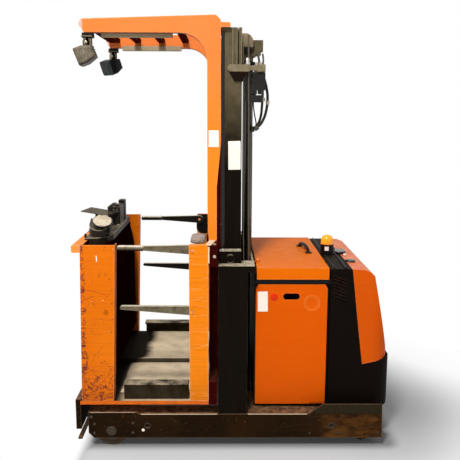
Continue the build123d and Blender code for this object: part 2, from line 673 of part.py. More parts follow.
def make_cylinder():
    """Barrel on the chassis and rod under the crosshead."""
    barrel = rod_z(CYLINDER_X, -CYLINDER_Y, BARREL_R, LEG_TOP, BARREL_TOP)
    barrel += rod_z(CYLINDER_X, -CYLINDER_Y, BARREL_RING_R, BARREL_TOP - BARREL_RING, BARREL_TOP)
    barrel -= rod_z(CYLINDER_X, -CYLINDER_Y, BARREL_R - BARREL_WALL, LEG_TOP + BARREL_FOOT, BARREL_TOP - BARREL_GLAND)
    barrel -= rod_z(CYLINDER_X, -CYLINDER_Y, ROD_R + PIN_GAP, LEG_TOP + BARREL_FOOT, BARREL_TOP + CUT)
    rod = rod_z(CYLINDER_X, -CYLINDER_Y, ROD_R, ROD_BOTTOM, CROSSHEAD_BOTTOM)
    return barrel, rod


def make_pulley():
    low, high = -PULLEY_Y - PULLEY_WIDTH / 2, -PULLEY_Y + PULLEY_WIDTH / 2
    pulley = rod_y(PULLEY_X, PULLEY_Z, PULLEY_R, low, high)
    groove = rod_y(PULLEY_X, PULLEY_Z, PULLEY_R + CUT, -PULLEY_Y - CHAIN_WIDTH / 2, -PULLEY_Y + CHAIN_WIDTH / 2)
    core = rod_y(PULLEY_X, PULLEY_Z, PULLEY_R - CHAIN_THICK, low, high)
    return pulley - (groove - core) - rod_y(PULLEY_X, PULLEY_Z, PULLEY_SHAFT_R + PIN_GAP, low - CUT, high + CUT)


def make_chain():
    """One leaf chain: up from the carriage, over the pulley, down to the anchor bar."""
    y = (-PULLEY_Y - CHAIN_WIDTH / 2 + SEAT_GAP, -PULLEY_Y + CHAIN_WIDTH / 2 - SEAT_GAP)
    inner_r = PULLEY_R - CHAIN_THICK + SEAT_GAP
    outer_r = inner_r + CHAIN_THICK
    reach = outer_r + CUT
    chain = rod_y(PULLEY_X, PULLEY_Z, outer_r, *y) - rod_y(PULLEY_X, PULLEY_Z, inner_r, y[0] - CUT, y[1] + CUT)
    chain -= slab((PULLEY_X - reach, PULLEY_X + reach), (y[0] - CUT, y[1] + CUT), (PULLEY_Z - reach, PULLEY_Z))
    chain += slab((PULLEY_X - outer_r, PULLEY_X - inner_r), y, (CHAIN_FRONT_END, PULLEY_Z))
    chain += slab((PULLEY_X + inner_r, PULLEY_X + outer_r), y, (ANCHOR_BAR_TOP + SEAT_GAP, PULLEY_Z))
    return chain


def corner_radii(route):
    """The arc radius at each corner of a pipe's route: 0.45 of the shorter run over the tangent of half the turn."""
    points = [Vector(x, 0, z) for x, z in route]
    radii = []
    for before, corner, after in zip(points, points[1:], points[2:]):
        arriving = corner - before
        leaving = after - corner
        half_turn = Vector(1, 0, 0).rotate(Axis.Z, arriving.get_angle(leaving) / 2)
        radii.append(0.45 * min(arriving.length, leaving.length) * half_turn.X / half_turn.Y)
    return radii


def make_pipe(name, route, y, radius):
    """A round pipe of straight runs joined by arcs, in a plane across Y."""
    radii = corner_radii(route)
    print(name, "radii", [round(value) for value in radii])
    path = FilletPolyline(*[(x, y, z) for x, z in route], radius=radii)
    start = Plane(origin=path @ 0, z_dir=path % 0)
    tube = sweep(start * Circle(radius), path=path)
    length = sum(edge.length for edge in path.edges())
    print(name, "length", round(length), "volume share", round(tube.volume / (3.14159 * radius * radius * length), 4))
    return tube


# Two pipes and a hose from the mast's top bracket down to the near lift cylinder
def make_mast_hoses():
    y = (HOSE_Y - HOSE_R - FITTING_MARGIN, THIN_PIPE_Y + THIN_PIPE_R + FITTING_MARGIN)
    fitting = slab(FITTING_X, y, FITTING_Z)
    fitting -= rod_z(CYLINDER_X, -CYLINDER_Y, BARREL_R + PIN_GAP, FITTING_Z[0] - CUT, FITTING_Z[1] + CUT)
    hoses = fitting + make_pipe("pipe", PIPE_ROUTE, PIPE_Y, PIPE_R)
    hoses += make_pipe("hose", HOSE_ROUTE, HOSE_Y, HOSE_R)
    hoses += make_pipe("thin pipe", THIN_PIPE_ROUTE, THIN_PIPE_Y, THIN_PIPE_R)
    return hoses - slab((0, REAR_X), y, (BRACKET_BOTTOM, BRACKET_TOP))


# Battery body: bulkheads, sill, side rails and the hinge lugs of the lid
def make_body_shell():
    edge = BODY_HALF_WIDTH - DOOR_DEPTH - SEAT_GAP
    rail_top = LID_TOP - LID_DEPTH - SEAT_GAP
    hinge_foot = LID_TOP - LID_SKIN - HINGE_PLATE
    shell = slab((BODY_FRONT_X, BODY_FRONT_X + BULKHEAD), (-edge, edge), (LEG_TOP, hinge_foot + HINGE_LUG))
    shell += slab((BATTERY_BAY_REAR_X - BULKHEAD, BATTERY_BAY_REAR_X), (-edge, edge), (LEG_TOP, rail_top))
    ends = (BODY_FRONT_X, BATTERY_BAY_REAR_X)
    side = slab(ends, (-BODY_HALF_WIDTH, -edge + HINGE_LUG), (DOOR_TOP + RAIL_GAP, rail_top))
    side += slab(ends, (-edge, -edge + HINGE_LUG), (LEG_TOP, DOOR_BOTTOM + SILL_LIP))
    hook_z = (DOOR_BOTTOM - DOOR_HOOK_DROP, DOOR_BOTTOM - SEAT_GAP)
    for low in (DOOR_FRONT_X + DOOR_HOOK_IN, DOOR_REAR_X - DOOR_HOOK_IN - DOOR_HOOK):
        side += slab((low, low + DOOR_HOOK), (-edge - DOOR_HOOK_REACH, -edge), hook_z)
    shell += both(side)
    gap = HINGE_KNUCKLE / 2 + HINGE_SIDE
    for y in (-HINGE_Y, HINGE_Y):
        for low in (y - gap - HINGE_LUG, y + gap):
            shell += rod_y(HINGE_X, HINGE_Z, HINGE_KNUCKLE_R, low, low + HINGE_LUG)
            shell += slab((BODY_FRONT_X, HINGE_X), (low, low + HINGE_LUG), (hinge_foot, HINGE_Z))
        shell += rod_y(HINGE_X, HINGE_Z, HINGE_PIN_R, y - gap, y + gap)
    return shell


def make_lid():
    """Pan-shaped lid, open below, with two hinge knuckles on its mast side and a pull handle."""
    y = BODY_HALF_WIDTH
    low = LID_TOP - LID_DEPTH
    lid = slab((LID_FRONT_X, LID_REAR_X), (-y, y), (low, LID_TOP))
    lid -= slab((LID_FRONT_X + LID_SKIN, LID_REAR_X - LID_SKIN), (-y + LID_SKIN, y - LID_SKIN),
                (low - CUT, LID_TOP - LID_SKIN))
    lid -= slab((LID_FRONT_X - CUT, LID_FRONT_X + LID_SKIN + CUT), (-y + LID_OPEN, y - LID_OPEN),
                (low - CUT, LID_TOP - LID_OPEN))
    handle_start, handle_end, handle_length, handle_rise = LID_HANDLE
    lid += slab((LID_REAR_X - handle_start, LID_REAR_X - handle_end), (0, handle_length),
                (LID_TOP, LID_TOP + handle_rise))
    notch_rear = HINGE_X + HINGE_KNUCKLE_R + RAIL_GAP
    for hinge_y in (-HINGE_Y, HINGE_Y):
        half = HINGE_KNUCKLE / 2
        lid -= slab((LID_FRONT_X - CUT, notch_rear), (hinge_y - half - LID_NOTCH, hinge_y + half + LID_NOTCH),
                    (low - CUT, LID_TOP + CUT))
        span = (hinge_y - half, hinge_y + half)
        lid += rod_y(HINGE_X, HINGE_Z, HINGE_KNUCKLE_R, *span)
        lid += slab((HINGE_X, notch_rear + CUT), span, (LID_TOP - LID_SKIN - RAIL_GAP, LID_TOP))
        lid -= rod_y(HINGE_X, HINGE_Z, HINGE_PIN_R + PIN_GAP, span[0] - CUT, span[1] + CUT)
    return lid


def make_door():
    """Lift-off side panel with turned-in edges, notched top corners and a hand slot."""
    y0, y1 = -BODY_HALF_WIDTH, -BODY_HALF_WIDTH + DOOR_DEPTH
    left, right = DOOR_FRONT_X, DOOR_REAR_X
    notch = DOOR_NOTCH / 2
    outline = [
        (left, DOOR_BOTTOM), (right, DOOR_BOTTOM), (right, DOOR_TOP - DOOR_NOTCH), (right - notch, DOOR_TOP),
        (left + notch, DOOR_TOP), (left, DOOR_TOP - DOOR_NOTCH),
    ]
    door = plate_xz(outline, y0, y1)
    door -= slab((left + DOOR_EDGE, right - DOOR_EDGE), (y0 + DOOR_SKIN, y1 + CUT),
                 (DOOR_BOTTOM + DOOR_EDGE, DOOR_TOP - DOOR_NOTCH))
    half = (SLOT_WIDTH - SLOT_HEIGHT) / 2
    slot = slab((SLOT_X - half, SLOT_X + half), (y0 - CUT, y1 + CUT),
                (SLOT_Z - SLOT_HEIGHT / 2, SLOT_Z + SLOT_HEIGHT / 2))
    for x in (SLOT_X - half, SLOT_X + half):
        slot += rod_y(x, SLOT_Z, SLOT_HEIGHT / 2, y0 - CUT, y1 + CUT)
    return door - slot


def plan_block(rear_x, half, radius, z0, z1, front_x):
    """A block whose two rear corners are rounded in plan."""
    block = slab((front_x, rear_x), (-half, half), (z0, z1))
    corners = block.edges().filter_by(Axis.Z).sort_by(Axis.X)[-2:]
    return fillet(corners, radius)


def cover_solid(inset, overrun):
    """The rear cover's form, drawn in by inset where it shows and run out past its open front and bottom."""
    half = BODY_HALF_WIDTH - inset
    top = UNIT_TOP - inset
    lean = (SPLIT_BOTTOM_X - SPLIT_TOP_X) / (UNIT_TOP - TUB_TOP_FRONT)
    side = [
        (SPLIT_TOP_X - overrun + lean * inset, top), (COVER_CREST_X, top - COVER_TOP_FALL / 4),
        (COVER_TOP_REAR_X - COVER_TOP_BEVEL, top - COVER_TOP_FALL),
        (COVER_TOP_REAR_X - inset, top - COVER_TOP_FALL - COVER_TOP_BEVEL), (COVER_BASE_REAR_X - inset, TUB_TOP_REAR),
        (COVER_BASE_REAR_X - inset, TUB_TOP_REAR - overrun),
        (SPLIT_BOTTOM_X - overrun, TUB_TOP_FRONT - overrun),
    ]
    if overrun == 0:
        side.pop(5)
    body = plate_xz(side, -half, half)
    return body & plan_block(COVER_BASE_REAR_X - inset, half, PLAN_CORNER_R - inset, 0, GUARD_TOP, 0)


def make_rear_cover():
    """Orange cover over the power unit, open towards the housing and below."""
    return cover_solid(0, 0) - cover_solid(HOUSING_SKIN, 3 * HOUSING_SKIN)


def make_power_housing():
    """Black housing: top strip beside the lid, leaning edge to the cover, and the tub behind the frame."""
    y = BODY_HALF_WIDTH
    wall = HOUSING_SKIN
    front = BATTERY_BAY_REAR_X + SEAT_GAP
    edge_low = SPLIT_BOTTOM_X - COVER_SEAM
    edge_top = SPLIT_TOP_X - COVER_SEAM
    low_top = TUB_TOP_FRONT - COVER_SEAM
    strip = plate_xz([(front, LEG_TOP), (front, UNIT_TOP), (edge_top, UNIT_TOP), (edge_low, low_top),
                      (edge_low, LEG_TOP)], -y, y)
    tub_front = edge_low - TUB_LAP
    tub_side = [(tub_front, LEG_TOP), (tub_front, low_top), (edge_low, low_top), (REAR_X, TUB_TOP_REAR - COVER_SEAM),
                (REAR_X, LEG_TOP + TUB_NOSE[1]), (REAR_X - TUB_NOSE[0], LEG_TOP)]
    tub = plate_xz(tub_side, -y, y) & plan_block(REAR_X, y, PLAN_CORNER_R, 0, GUARD_TOP, 0)
    past = 3 * wall
    low = LEG_TOP - CUT
    hollow = plate_xz([(front + wall, low), (front + wall, UNIT_TOP - wall), (edge_top + past, UNIT_TOP - wall),
                       (edge_low + past, low_top), (edge_low + past, low)], -y + wall, y - wall)
    hollow += plan_block(REAR_X - wall, y - wall, PLAN_CORNER_R - wall, low, TUB_TOP_REAR + past, edge_low - wall)
    housing = strip + tub - hollow
    pitch = (GRILLE_Z[1] - GRILLE_Z[0] - GRILLE_SLOT) / (GRILLE_SLOTS - 1)
    for index in range(GRILLE_SLOTS):
        z = GRILLE_Z[0] + index * pitch
        slot = [(GRILLE_X[0], z), (GRILLE_X[1], z - GRILLE_RISE), (GRILLE_X[1], z - GRILLE_RISE + GRILLE_SLOT),
                (GRILLE_X[0], z + GRILLE_SLOT)]
        housing -= both(plate_xz(slot, -y - CUT, -y + wall + CUT))
    return housing


def make_beacon():
    """Round base on the housing's top and the dome that stands on it."""
    base_top = UNIT_TOP + BEACON_BASE
    base = rod_z(BEACON_X, BEACON_Y, BEACON_R, UNIT_TOP, base_top)
    dome = rod_z(BEACON_X, BEACON_Y, BEACON_R - BEACON_STEP, base_top, base_top + BEACON_DOME)
    return base, fillet(dome.edges().group_by(Axis.Z)[-1], BEACON_ROUND)


# Cab: back frame that runs in the mast, floor, console, posts and pads
def make_cab_frame():
    """Back frame with carriage plates, rollers, chain lugs, the rails behind the guard and the pad's bracket."""
    x = (CAB_REAR_X, CAB_REAR_X + BACK_FRAME_DEPTH)
    y = CAB_HALF_WIDTH
    plate = (-INNER_TIP + RUNNING_GAP, -INNER_TIP + RUNNING_GAP + CARRIAGE_PLATE)
    front = OUTER_FRONT_X + OUTER_WALL + RUNNING_GAP + INNER_WALL
    rear = OUTER_REAR_X - OUTER_WALL - RUNNING_GAP - INNER_WALL
    middle = (front + rear) / 2
    roller_r = (rear - front) / 2 - SEAT_GAP
    web = OUTER_FACE - OUTER_WALL - RUNNING_GAP - INNER_WALL
    frame = slab(x, (-y, y), (FLOOR_BOTTOM, FLOOR_BOTTOM + BACK_LOW_BEAM))
    frame += slab(x, (-y, y), (GUARD_BASE - BACK_TOP_BEAM, GUARD_BASE))
    side = slab(x, (plate[1] - BACK_UPRIGHT, plate[1]), (FLOOR_BOTTOM, GUARD_BASE))
    side += slab((x[0], middle + CARRIAGE_PIN_R), plate, (CARRIAGE_BOTTOM, CARRIAGE_TOP))
    for level in ROLLER_LEVELS:
        side += rod_y(middle, level, CARRIAGE_PIN_R, -INNER_TIP, plate[0])
        side += rod_y(middle, level, roller_r, -web + RUNNING_GAP, -INNER_TIP)
    rail_y = (-GUARD_FACE, -GUARD_FACE + GUARD_BEAM)
    rail = [(GUARD_LOW_REAR_X, BACK_RAIL_BOTTOM), (GUARD_UP_REAR_X, BACK_RAIL_BOTTOM),
            (GUARD_UP_REAR_X, GUARD_WIDE_Z), (GUARD_LOW_REAR_X + SEAT_GAP, GUARD_NARROW_Z),
            (GUARD_LOW_REAR_X + SEAT_GAP, GUARD_BASE), (GUARD_LOW_REAR_X, GUARD_BASE)]
    frame += both(side + plate_xz(rail, *rail_y))
    bracket_y = (PAD_Y[1] - PAD_BRACKET_WIDTH, PAD_Y[1])
    frame += slab((PAD_X[1] + SEAT_GAP, x[0]), bracket_y, PAD_BRACKET_Z)
    lane = PULLEY_X - PULLEY_R
    slot = CHAIN_WIDTH / 2 + RUNNING_GAP
    lug_z = (CHAIN_FRONT_END, CHAIN_FRONT_END + CHAIN_LUG)
    for side_sign in (-1, 1):
        middle_y = side_sign * PULLEY_Y
        strap = (middle_y - BACK_STRAP_HALF, middle_y + BACK_STRAP_HALF)
        frame += slab(x, strap, (FLOOR_BOTTOM + BACK_LOW_BEAM, GUARD_BASE - BACK_TOP_BEAM))
        lug = slab((x[1], lane + CHAIN_LUG / 2), strap, lug_z)
        lug -= slab((lane - CHAIN_LUG / 2, lane + CHAIN_LUG), (middle_y - slot, middle_y + slot),
                    (lug_z[0] - CUT, lug_z[1] + CUT))
        frame += lug
    return frame


def make_cab_floor():
    y = CAB_HALF_WIDTH
    return slab((CAB_FRONT_X, CAB_REAR_X), (-y, y), (FLOOR_BOTTOM, FLOOR_TOP))


def gate_inner_y():
    """Inner face of the gate arms' side, where the toe boards stand."""
    return -CAB_HALF_WIDTH + POST_THICK + ARM_GAP


def make_floor_mat():
    """Rubber mat of the near half, on the floor plate."""
    near = gate_inner_y() + TOE_DEPTH + ARM_GAP
    return slab((MAT_FRONT_X, CAB_REAR_X - ARM_GAP), (near, -SEAT_GAP), (FLOOR_TOP, FLOOR_TOP + MAT_THICK))


def make_sprung_platform():
    """Raised standing platform of the far half."""
    far = -gate_inner_y()
    return slab((PLATFORM_FRONT_X, CAB_REAR_X - 5 * ARM_GAP), (0, far), (FLOOR_TOP, PLATFORM_TOP))


def make_console_panel(low):
    """Side panel of the console with the flange that its platform-side edge is turned in to."""
    outline = [(PANEL_FRONT_LOW_X, FLOOR_TOP), (PANEL_FRONT_TOP_X, PANEL_TOP), (PANEL_REAR_TOP_X, PANEL_TOP),
               (PANEL_REAR_LOW_X, FLOOR_TOP)]
    panel = plate_xz(outline, -CAB_HALF_WIDTH, -CAB_HALF_WIDTH + PANEL_THICK)
    lean = (PANEL_REAR_TOP_X - PANEL_REAR_LOW_X) / (PANEL_TOP - FLOOR_TOP)
    low_x = PANEL_REAR_LOW_X + lean * (low - FLOOR_TOP)
    flange = [(low_x - RETURN_THICK, low), (low_x, low), (PANEL_REAR_TOP_X, PANEL_TOP),
              (PANEL_REAR_TOP_X - RETURN_THICK, PANEL_TOP)]
    return panel + plate_xz(flange, -CAB_HALF_WIDTH, -CAB_HALF_WIDTH + RETURN_DEPTH)


def trunk_profile(inset, bottom, top):
    """Side view of the console's trunk, with its face drawn in by inset."""
    return [
        (CONSOLE_FRONT_X, bottom), (TRUNK_TOE_X - inset, bottom), (TRUNK_FACE_X - inset, TRUNK_TOE_Z),
        (TRUNK_FACE_X - inset, TRUNK_BULGE_Z), (TRUNK_NECK_X - inset, TRUNK_NECK_Z), (TRUNK_NECK_X - inset, top),
        (CONSOLE_FRONT_X, top),
    ]


def make_console_body():
    """Front wall between the side panels and the hollow trunk behind it, open towards the toes."""
    inside = CAB_HALF_WIDTH - PANEL_THICK - SEAT_GAP
    wall = (CONSOLE_FRONT_X, CONSOLE_FRONT_X + CONSOLE_WALL)
    top = PANEL_TOP - DASH_SKIRT
    plan = plan_block(TRUNK_FACE_X, TRUNK_HALF, TRUNK_ROUND, 0, GUARD_TOP, CONSOLE_FRONT_X)
    trunk = plate_xz(trunk_profile(0, TRUNK_BOTTOM, top), -TRUNK_HALF, TRUNK_HALF) & plan
    inner = TRUNK_HALF - TRUNK_SKIN
    hollow = plate_xz(trunk_profile(TRUNK_SKIN, TRUNK_BOTTOM - CUT, top - TRUNK_SKIN), -inner, inner)
    trunk -= hollow & plan_block(TRUNK_FACE_X - TRUNK_SKIN, inner, TRUNK_ROUND - TRUNK_SKIN, 0, GUARD_TOP,
                                 CONSOLE_FRONT_X - CUT)
    return trunk + slab(wall, (-inside, inside), (FLOOR_TOP, top)) + both(
        slab(wall, (-inside, -TRUNK_HALF), (top, PANEL_TOP)))


def make_console_collar():
    """Orange bar across the console's front with a shelf back to the front wall."""
    rear = PANEL_FRONT_TOP_X - COLLAR_GAP
    bar = slab((COLLAR_FRONT_X, rear), (-CAB_HALF_WIDTH, CAB_HALF_WIDTH), (PANEL_TOP - COLLAR_DEPTH, PANEL_TOP))
    bar = fillet(bar.edges().filter_by(Axis.Y).sort_by(Axis.X)[:2], COLLAR_ROUND)
    inside = CAB_HALF_WIDTH - PANEL_THICK - SEAT_GAP
    return bar + slab((rear, CONSOLE_FRONT_X), (-inside, inside), (PANEL_TOP - COLLAR_SHELF, PANEL_TOP))


def make_dash():
    """Plate over the console with its near corner cut round, and the skirt that drops behind the front wall."""
    plan = [(DASH_FRONT_X, -TRUNK_HALF)]
    plan += [(x, -TRUNK_HALF + offset) for x, offset in DASH_NEAR_CORNER]
    plan += [(DASH_REAR_X, TRUNK_HALF), (DASH_FRONT_X, TRUNK_HALF)]
    top = PANEL_TOP + DASH_PLATE
    whole = plate_xy(plan, PANEL_TOP - DASH_SKIRT, top)
    whole = fillet(whole.edges().filter_by(Axis.Z).sort_by(Axis.X)[2:], DASH_ROUND)
    wall_rear = CONSOLE_FRONT_X + CONSOLE_WALL + SEAT_GAP
    cut = (DASH_FRONT_X - CUT, wall_rear)
    return whole - slab(cut, (-TRUNK_HALF - CUT, TRUNK_HALF + CUT), (0, PANEL_TOP))


# Controls on the dash
def make_controls():
    """Steering pod with its spindle, the hand disc, and the separate hand controls."""
    base = PANEL_TOP + DASH_PLATE
    round_r = (POD_X[1] - POD_X[0]) / 2
    middle = (POD_X[0] + POD_X[1]) / 2
    pod_high = base + POD_NEAR_RISE + POD_SLOPE * (POD_Y[1] - POD_Y[0])
    pod = slab(POD_X, (POD_Y[0] + round_r, POD_Y[1]), (base, pod_high))
    pod += rod_z(middle, POD_Y[0] + round_r, round_r, base, pod_high)
    side = [(POD_Y[0], base), (POD_Y[0], base + POD_NEAR_RISE), (POD_Y[1], pod_high), (POD_Y[1], base)]
    pod &= plate_yz(side, *POD_X)
    place = Plane(origin=DISC_CENTRE, z_dir=DISC_AXIS)
    spindle_length = SPINDLE_DEPTH + DISC_THICK / 2
    spindle = place * (Pos(0, 0, DISC_THICK / 2 - spindle_length / 2) * Cylinder(SPINDLE_R, spindle_length))
    disc = place * (Cylinder(DISC_R, DISC_THICK) - Cylinder(SPINDLE_R + PIN_GAP, DISC_THICK + CUT))
    block = slab(BLOCK_X, BLOCK_Y, (base, BLOCK_TOP))
    block = fillet(block.edges().filter_by(Axis.Z), BLOCK_ROUND)
    lever = slab(LEVER_X, LEVER_Y, (base, LEVER_TOP))
    lever = fillet(lever.edges().filter_by(Axis.Z), BLOCK_ROUND)
    knob = Pos(*KNOB_CENTRE) * Sphere(KNOB_R)
    knob += rod_z(KNOB_CENTRE[0], KNOB_CENTRE[1], KNOB_STEM_R, base, KNOB_CENTRE[2])
    return pod + spindle, disc, Compound(children=[block, lever, knob])


def make_writing_board():
    """Thin sloping board on a stem beside the steering pod."""
    xs = [x for x, y in BOARD_PLAN]
    ys = [y for x, y in BOARD_PLAN]
    near, far = min(ys), max(ys)
    left, right = min(xs), max(xs)
    rise = BOARD_SLOPE * (right - left)
    profile = [(left, BOARD_LOW + rise), (right, BOARD_LOW), (right, BOARD_LOW - BOARD_THICK),
               (left, BOARD_LOW + rise - BOARD_THICK)]
    board = plate_xz(profile, near, far) & plate_xy(BOARD_PLAN, 0, GUARD_TOP)
    stem_top = BOARD_LOW + BOARD_SLOPE * (right - BOARD_STEM_X) - BOARD_THICK / 2
    stem = rod_z(BOARD_STEM_X, BOARD_STEM_Y, BOARD_STEM_R, PANEL_TOP + DASH_PLATE, stem_top - BOARD_THICK / 4)
    return board + stem


def make_post():
    """Side post at the mast side of the cab, with the pins of both gate arms."""
    y = (-CAB_HALF_WIDTH, -CAB_HALF_WIDTH + POST_THICK)
    post = slab((POST_FRONT_X, POST_REAR_X), y, (FLOOR_TOP, POST_TOP))
    post = fillet(post.edges().filter_by(Axis.Y).group_by(Axis.Z)[-1], POST_CORNER)
    post += slab((POST_REAR_X - POST_LAP, CAB_REAR_X), y, (FLOOR_TOP, GUARD_BASE - POST_LAP))
    for x, z in (UPPER_PIVOT, LOWER_PIVOT):
        post += rod_y(x, z, ARM_PIN_R, y[0] - ARM_PIN_HEAD, y[1] + ARM_GAP + ARM_THICK)
    return post


def make_back_pad():
    """Rounded pad behind the near post's top, on the back frame's bracket."""
    pad = slab(PAD_X, PAD_Y, PAD_Z)
    return fillet(pad.edges().filter_by(Axis.Y).sort_by(Axis.X)[:2], PAD_ROUND)


def make_arm(pivot, tip, tube):
    """A tapered gate arm that points to the console when it is down, its last stretch round if tube is not 0."""
    y0 = gate_inner_y()
    y1 = y0 + ARM_THICK
    tip_r = UPPER_TUBE_R if tube else ARM_TIP_R
    neck = tip[0] + tube
    outline = [(pivot[0], pivot[1] + ARM_ROOT_R), (neck, tip[1] + tip_r), (neck, tip[1] - tip_r),
               (pivot[0], pivot[1] - ARM_ROOT_R)]
    arm = plate_xz(outline, y0, y1) + rod_y(pivot[0], pivot[1], ARM_ROOT_R, y0, y1)
    if tube:
        arm += rod_x((y0 + y1) / 2, tip[1], tip_r, tip[0] - ARM_TIP_R, neck + tip_r)
    else:
        arm += rod_y(tip[0], tip[1], tip_r, y0, y1)
    return arm - rod_y(pivot[0], pivot[1], ARM_PIN_R + PIN_GAP, y0 - CUT, y1 + CUT)


def make_toe_board(low):
    outer = gate_inner_y()
    top = low + TOE_HEIGHT
    board = slab((TOE_FRONT_X, TOE_REAR_X), (outer, outer + TOE_PLATE), (low, top))
    return board + slab((TOE_FRONT_X, TOE_REAR_X), (outer, outer + TOE_DEPTH), (top - TOE_PLATE, top))


# Overhead guard: two side frames, the bars between them and the rear block
def make_guard_side():
    outline = [
        (GUARD_TIP_X, GUARD_TIP_TOP), (GUARD_UP_REAR_X - GUARD_CORNER, GUARD_TOP),
        (GUARD_UP_REAR_X, GUARD_TOP - GUARD_CORNER), (GUARD_UP_REAR_X, GUARD_WIDE_Z),
        (GUARD_LOW_REAR_X, GUARD_NARROW_Z), (GUARD_LOW_REAR_X, GUARD_BASE), (GUARD_LOW_FRONT_X, GUARD_BASE),
        (GUARD_UP_FRONT_X, GUARD_FOOT_Z), (GUARD_UP_FRONT_X, GUARD_BEAM_BOTTOM),
        (GUARD_TIP_X + GUARD_TIP_BACK, GUARD_BEAM_BOTTOM), (GUARD_TIP_X - GUARD_TIP_NOSE, GUARD_TIP_MIDDLE),
    ]
    y = (-GUARD_FACE, -GUARD_FACE + GUARD_BEAM)
    side = plate_xz(outline, *y)
    centre = (GUARD_UP_FRONT_X - GUARD_FILLET, GUARD_BEAM_BOTTOM - GUARD_FILLET)
    web = slab((centre[0], GUARD_UP_FRONT_X + CUT), y, (centre[1], GUARD_BEAM_BOTTOM + CUT))
    return side + (web - rod_y(centre[0], centre[1], GUARD_FILLET, y[0] - CUT, y[1] + CUT))


def make_guard_bars():
    """Cross bars between the side frames, the rear panel and the block behind it."""
    inside = GUARD_FACE - GUARD_BEAM
    low = GUARD_TOP - GUARD_BAR_DROP
    half = GUARD_BAR[0] / 2
    bars = [slab(GUARD_FRONT_BAR_X, (-inside, inside), (low, low + GUARD_BAR[1]))]
    bars += [slab((x - half, x + half), (-inside, inside), (low, low + GUARD_BAR[1])) for x in GUARD_BARS_X]
    panel_x = (GUARD_UP_FRONT_X, GUARD_UP_REAR_X - GUARD_CORNER)
    block_top = GUARD_TOP - GUARD_BLOCK_DROP
    panel = slab(panel_x, (-inside, inside), (GUARD_TOP - GUARD_PANEL_DROP, block_top))
    panel += slab((panel_x[1], GUARD_BLOCK_REAR_X), (-GUARD_BLOCK_HALF, GUARD_BLOCK_HALF),
                  (block_top - GUARD_BLOCK_THICK, block_top))
    return Compound(children=bars + [panel])


def make_guard_strip():
    y = -GUARD_FACE + GUARD_BEAM
    low = GUARD_BEAM_BOTTOM - STRIP_DROP
    return slab((STRIP_FRONT_X, STRIP_REAR_X), (y, y + STRIP_DEPTH), (low, low + STRIP_HEIGHT))


def make_work_light(turn):
    """Oblong lamp that hangs from the beam's front end, looks forwards and down, and is turned about its stem."""
    beam_y = -GUARD_FACE + GUARD_BEAM / 2
    centre_z = GUARD_BEAM_BOTTOM - LIGHT_DROP
    wide, high = LIGHT_SIZE
    place = Pos(LIGHT_X, beam_y, centre_z) * Rot(0, 0, turn) * Rot(0, -LIGHT_TILT, 0)
    rim = Pos(LIGHT_RIM / 2 - LIGHT_FRONT, 0, 0) * Box(LIGHT_RIM, wide, high)
    rim = fillet(rim.edges().filter_by(Axis.X), LIGHT_ROUND)
    front = Plane(origin=(LIGHT_RIM - LIGHT_FRONT, 0, 0), x_dir=(0, 1, 0), z_dir=(1, 0, 0))
    back = Plane(origin=(LIGHT_BACK, 0, 0), x_dir=(0, 1, 0), z_dir=(1, 0, 0))
    taper = 2 * LIGHT_TAPER
    shell = loft([front * RectangleRounded(wide, high, LIGHT_ROUND),
                  back * RectangleRounded(wide - taper, high - taper, LIGHT_ROUND)])
    shell = fillet(shell.faces().sort_by(Axis.X)[-1].edges(), LIGHT_BACK_ROUND)
    lamp = place * (rim + shell)
    stem_y = (beam_y - LIGHT_STEM_HALF, beam_y + LIGHT_STEM_HALF)
    block_low = GUARD_BEAM_BOTTOM - LIGHT_BLOCK_HEIGHT
    lamp += slab(LIGHT_STEM_X, stem_y, (centre_z, block_low))
    return lamp + slab(LIGHT_BLOCK_X, stem_y, (block_low, GUARD_BEAM_BOTTOM - SEAT_GAP))


def make_fork_carriage():
    x = (FRONT_X, FRONT_X + CARRIAGE_THICK)
    plate = slab(x, (-HALF_WIDTH, HALF_WIDTH), (CARRIAGE_LOW, CARRIAGE_HIGH))
    hanger_y = (-HOOK_Y - HOOK_WIDTH / 2, -HOOK_Y + HOOK_WIDTH / 2)
    plate += both(slab(x, hanger_y, (HOOK_RAIL_Z[0], CARRIAGE_LOW)))
    rail = HALF_WIDTH - HOOK_RAIL_INSET
    return plate + slab((x[0] + HOOK_RAIL_SET, x[1]), (-rail, rail), HOOK_RAIL_Z)


def write(name, shape):
    export_step(shape, f"parts/{name}.step")


def as_near(shape):
    """The piece as it is made, on the near side."""
    return shape


os.makedirs("parts", exist_ok=True)
SIDES = (("near", -1, as_near), ("far", 1, mirrored))

write("chassis_frame", make_frame())
write("load_axles", pair(make_load_axle()))
load_hub, load_tyre = make_wheel(LOAD_WHEEL_X, load_wheel_y(), LOAD_WHEEL_R, LOAD_WHEEL_WIDTH, LOAD_HUB_R,
                                 LOAD_AXLE_R + PIN_GAP)
door = make_door()
upper_arm = make_arm(UPPER_PIVOT, UPPER_TIP, UPPER_TUBE)
lower_arm = make_arm(LOWER_PIVOT, LOWER_TIP, 0)
for side_name, side_sign, place in SIDES:
    write(f"load_hub_{side_name}", place(load_hub))
    write(f"load_tyre_{side_name}", place(load_tyre))
    castor_fork, castor_wheel = make_castor(side_sign)
    write(f"castor_fork_{side_name}", castor_fork)
    write(f"castor_wheel_{side_name}", castor_wheel)
    write(f"side_door_{side_name}", place(door))
    write(f"gate_arm_upper_{side_name}", place(upper_arm))
    write(f"gate_arm_lower_{side_name}", place(lower_arm))
drive_unit, drive_motor = make_drive_unit()
drive_hub, drive_tyre = make_wheel(DRIVE_X, 0, DRIVE_R, DRIVE_WIDTH, DRIVE_HUB_R, DRIVE_AXLE_R + PIN_GAP)
write("drive_unit", drive_unit)
write("drive_motor", drive_motor)
write("drive_hub", drive_hub)
write("drive_tyre", drive_tyre)

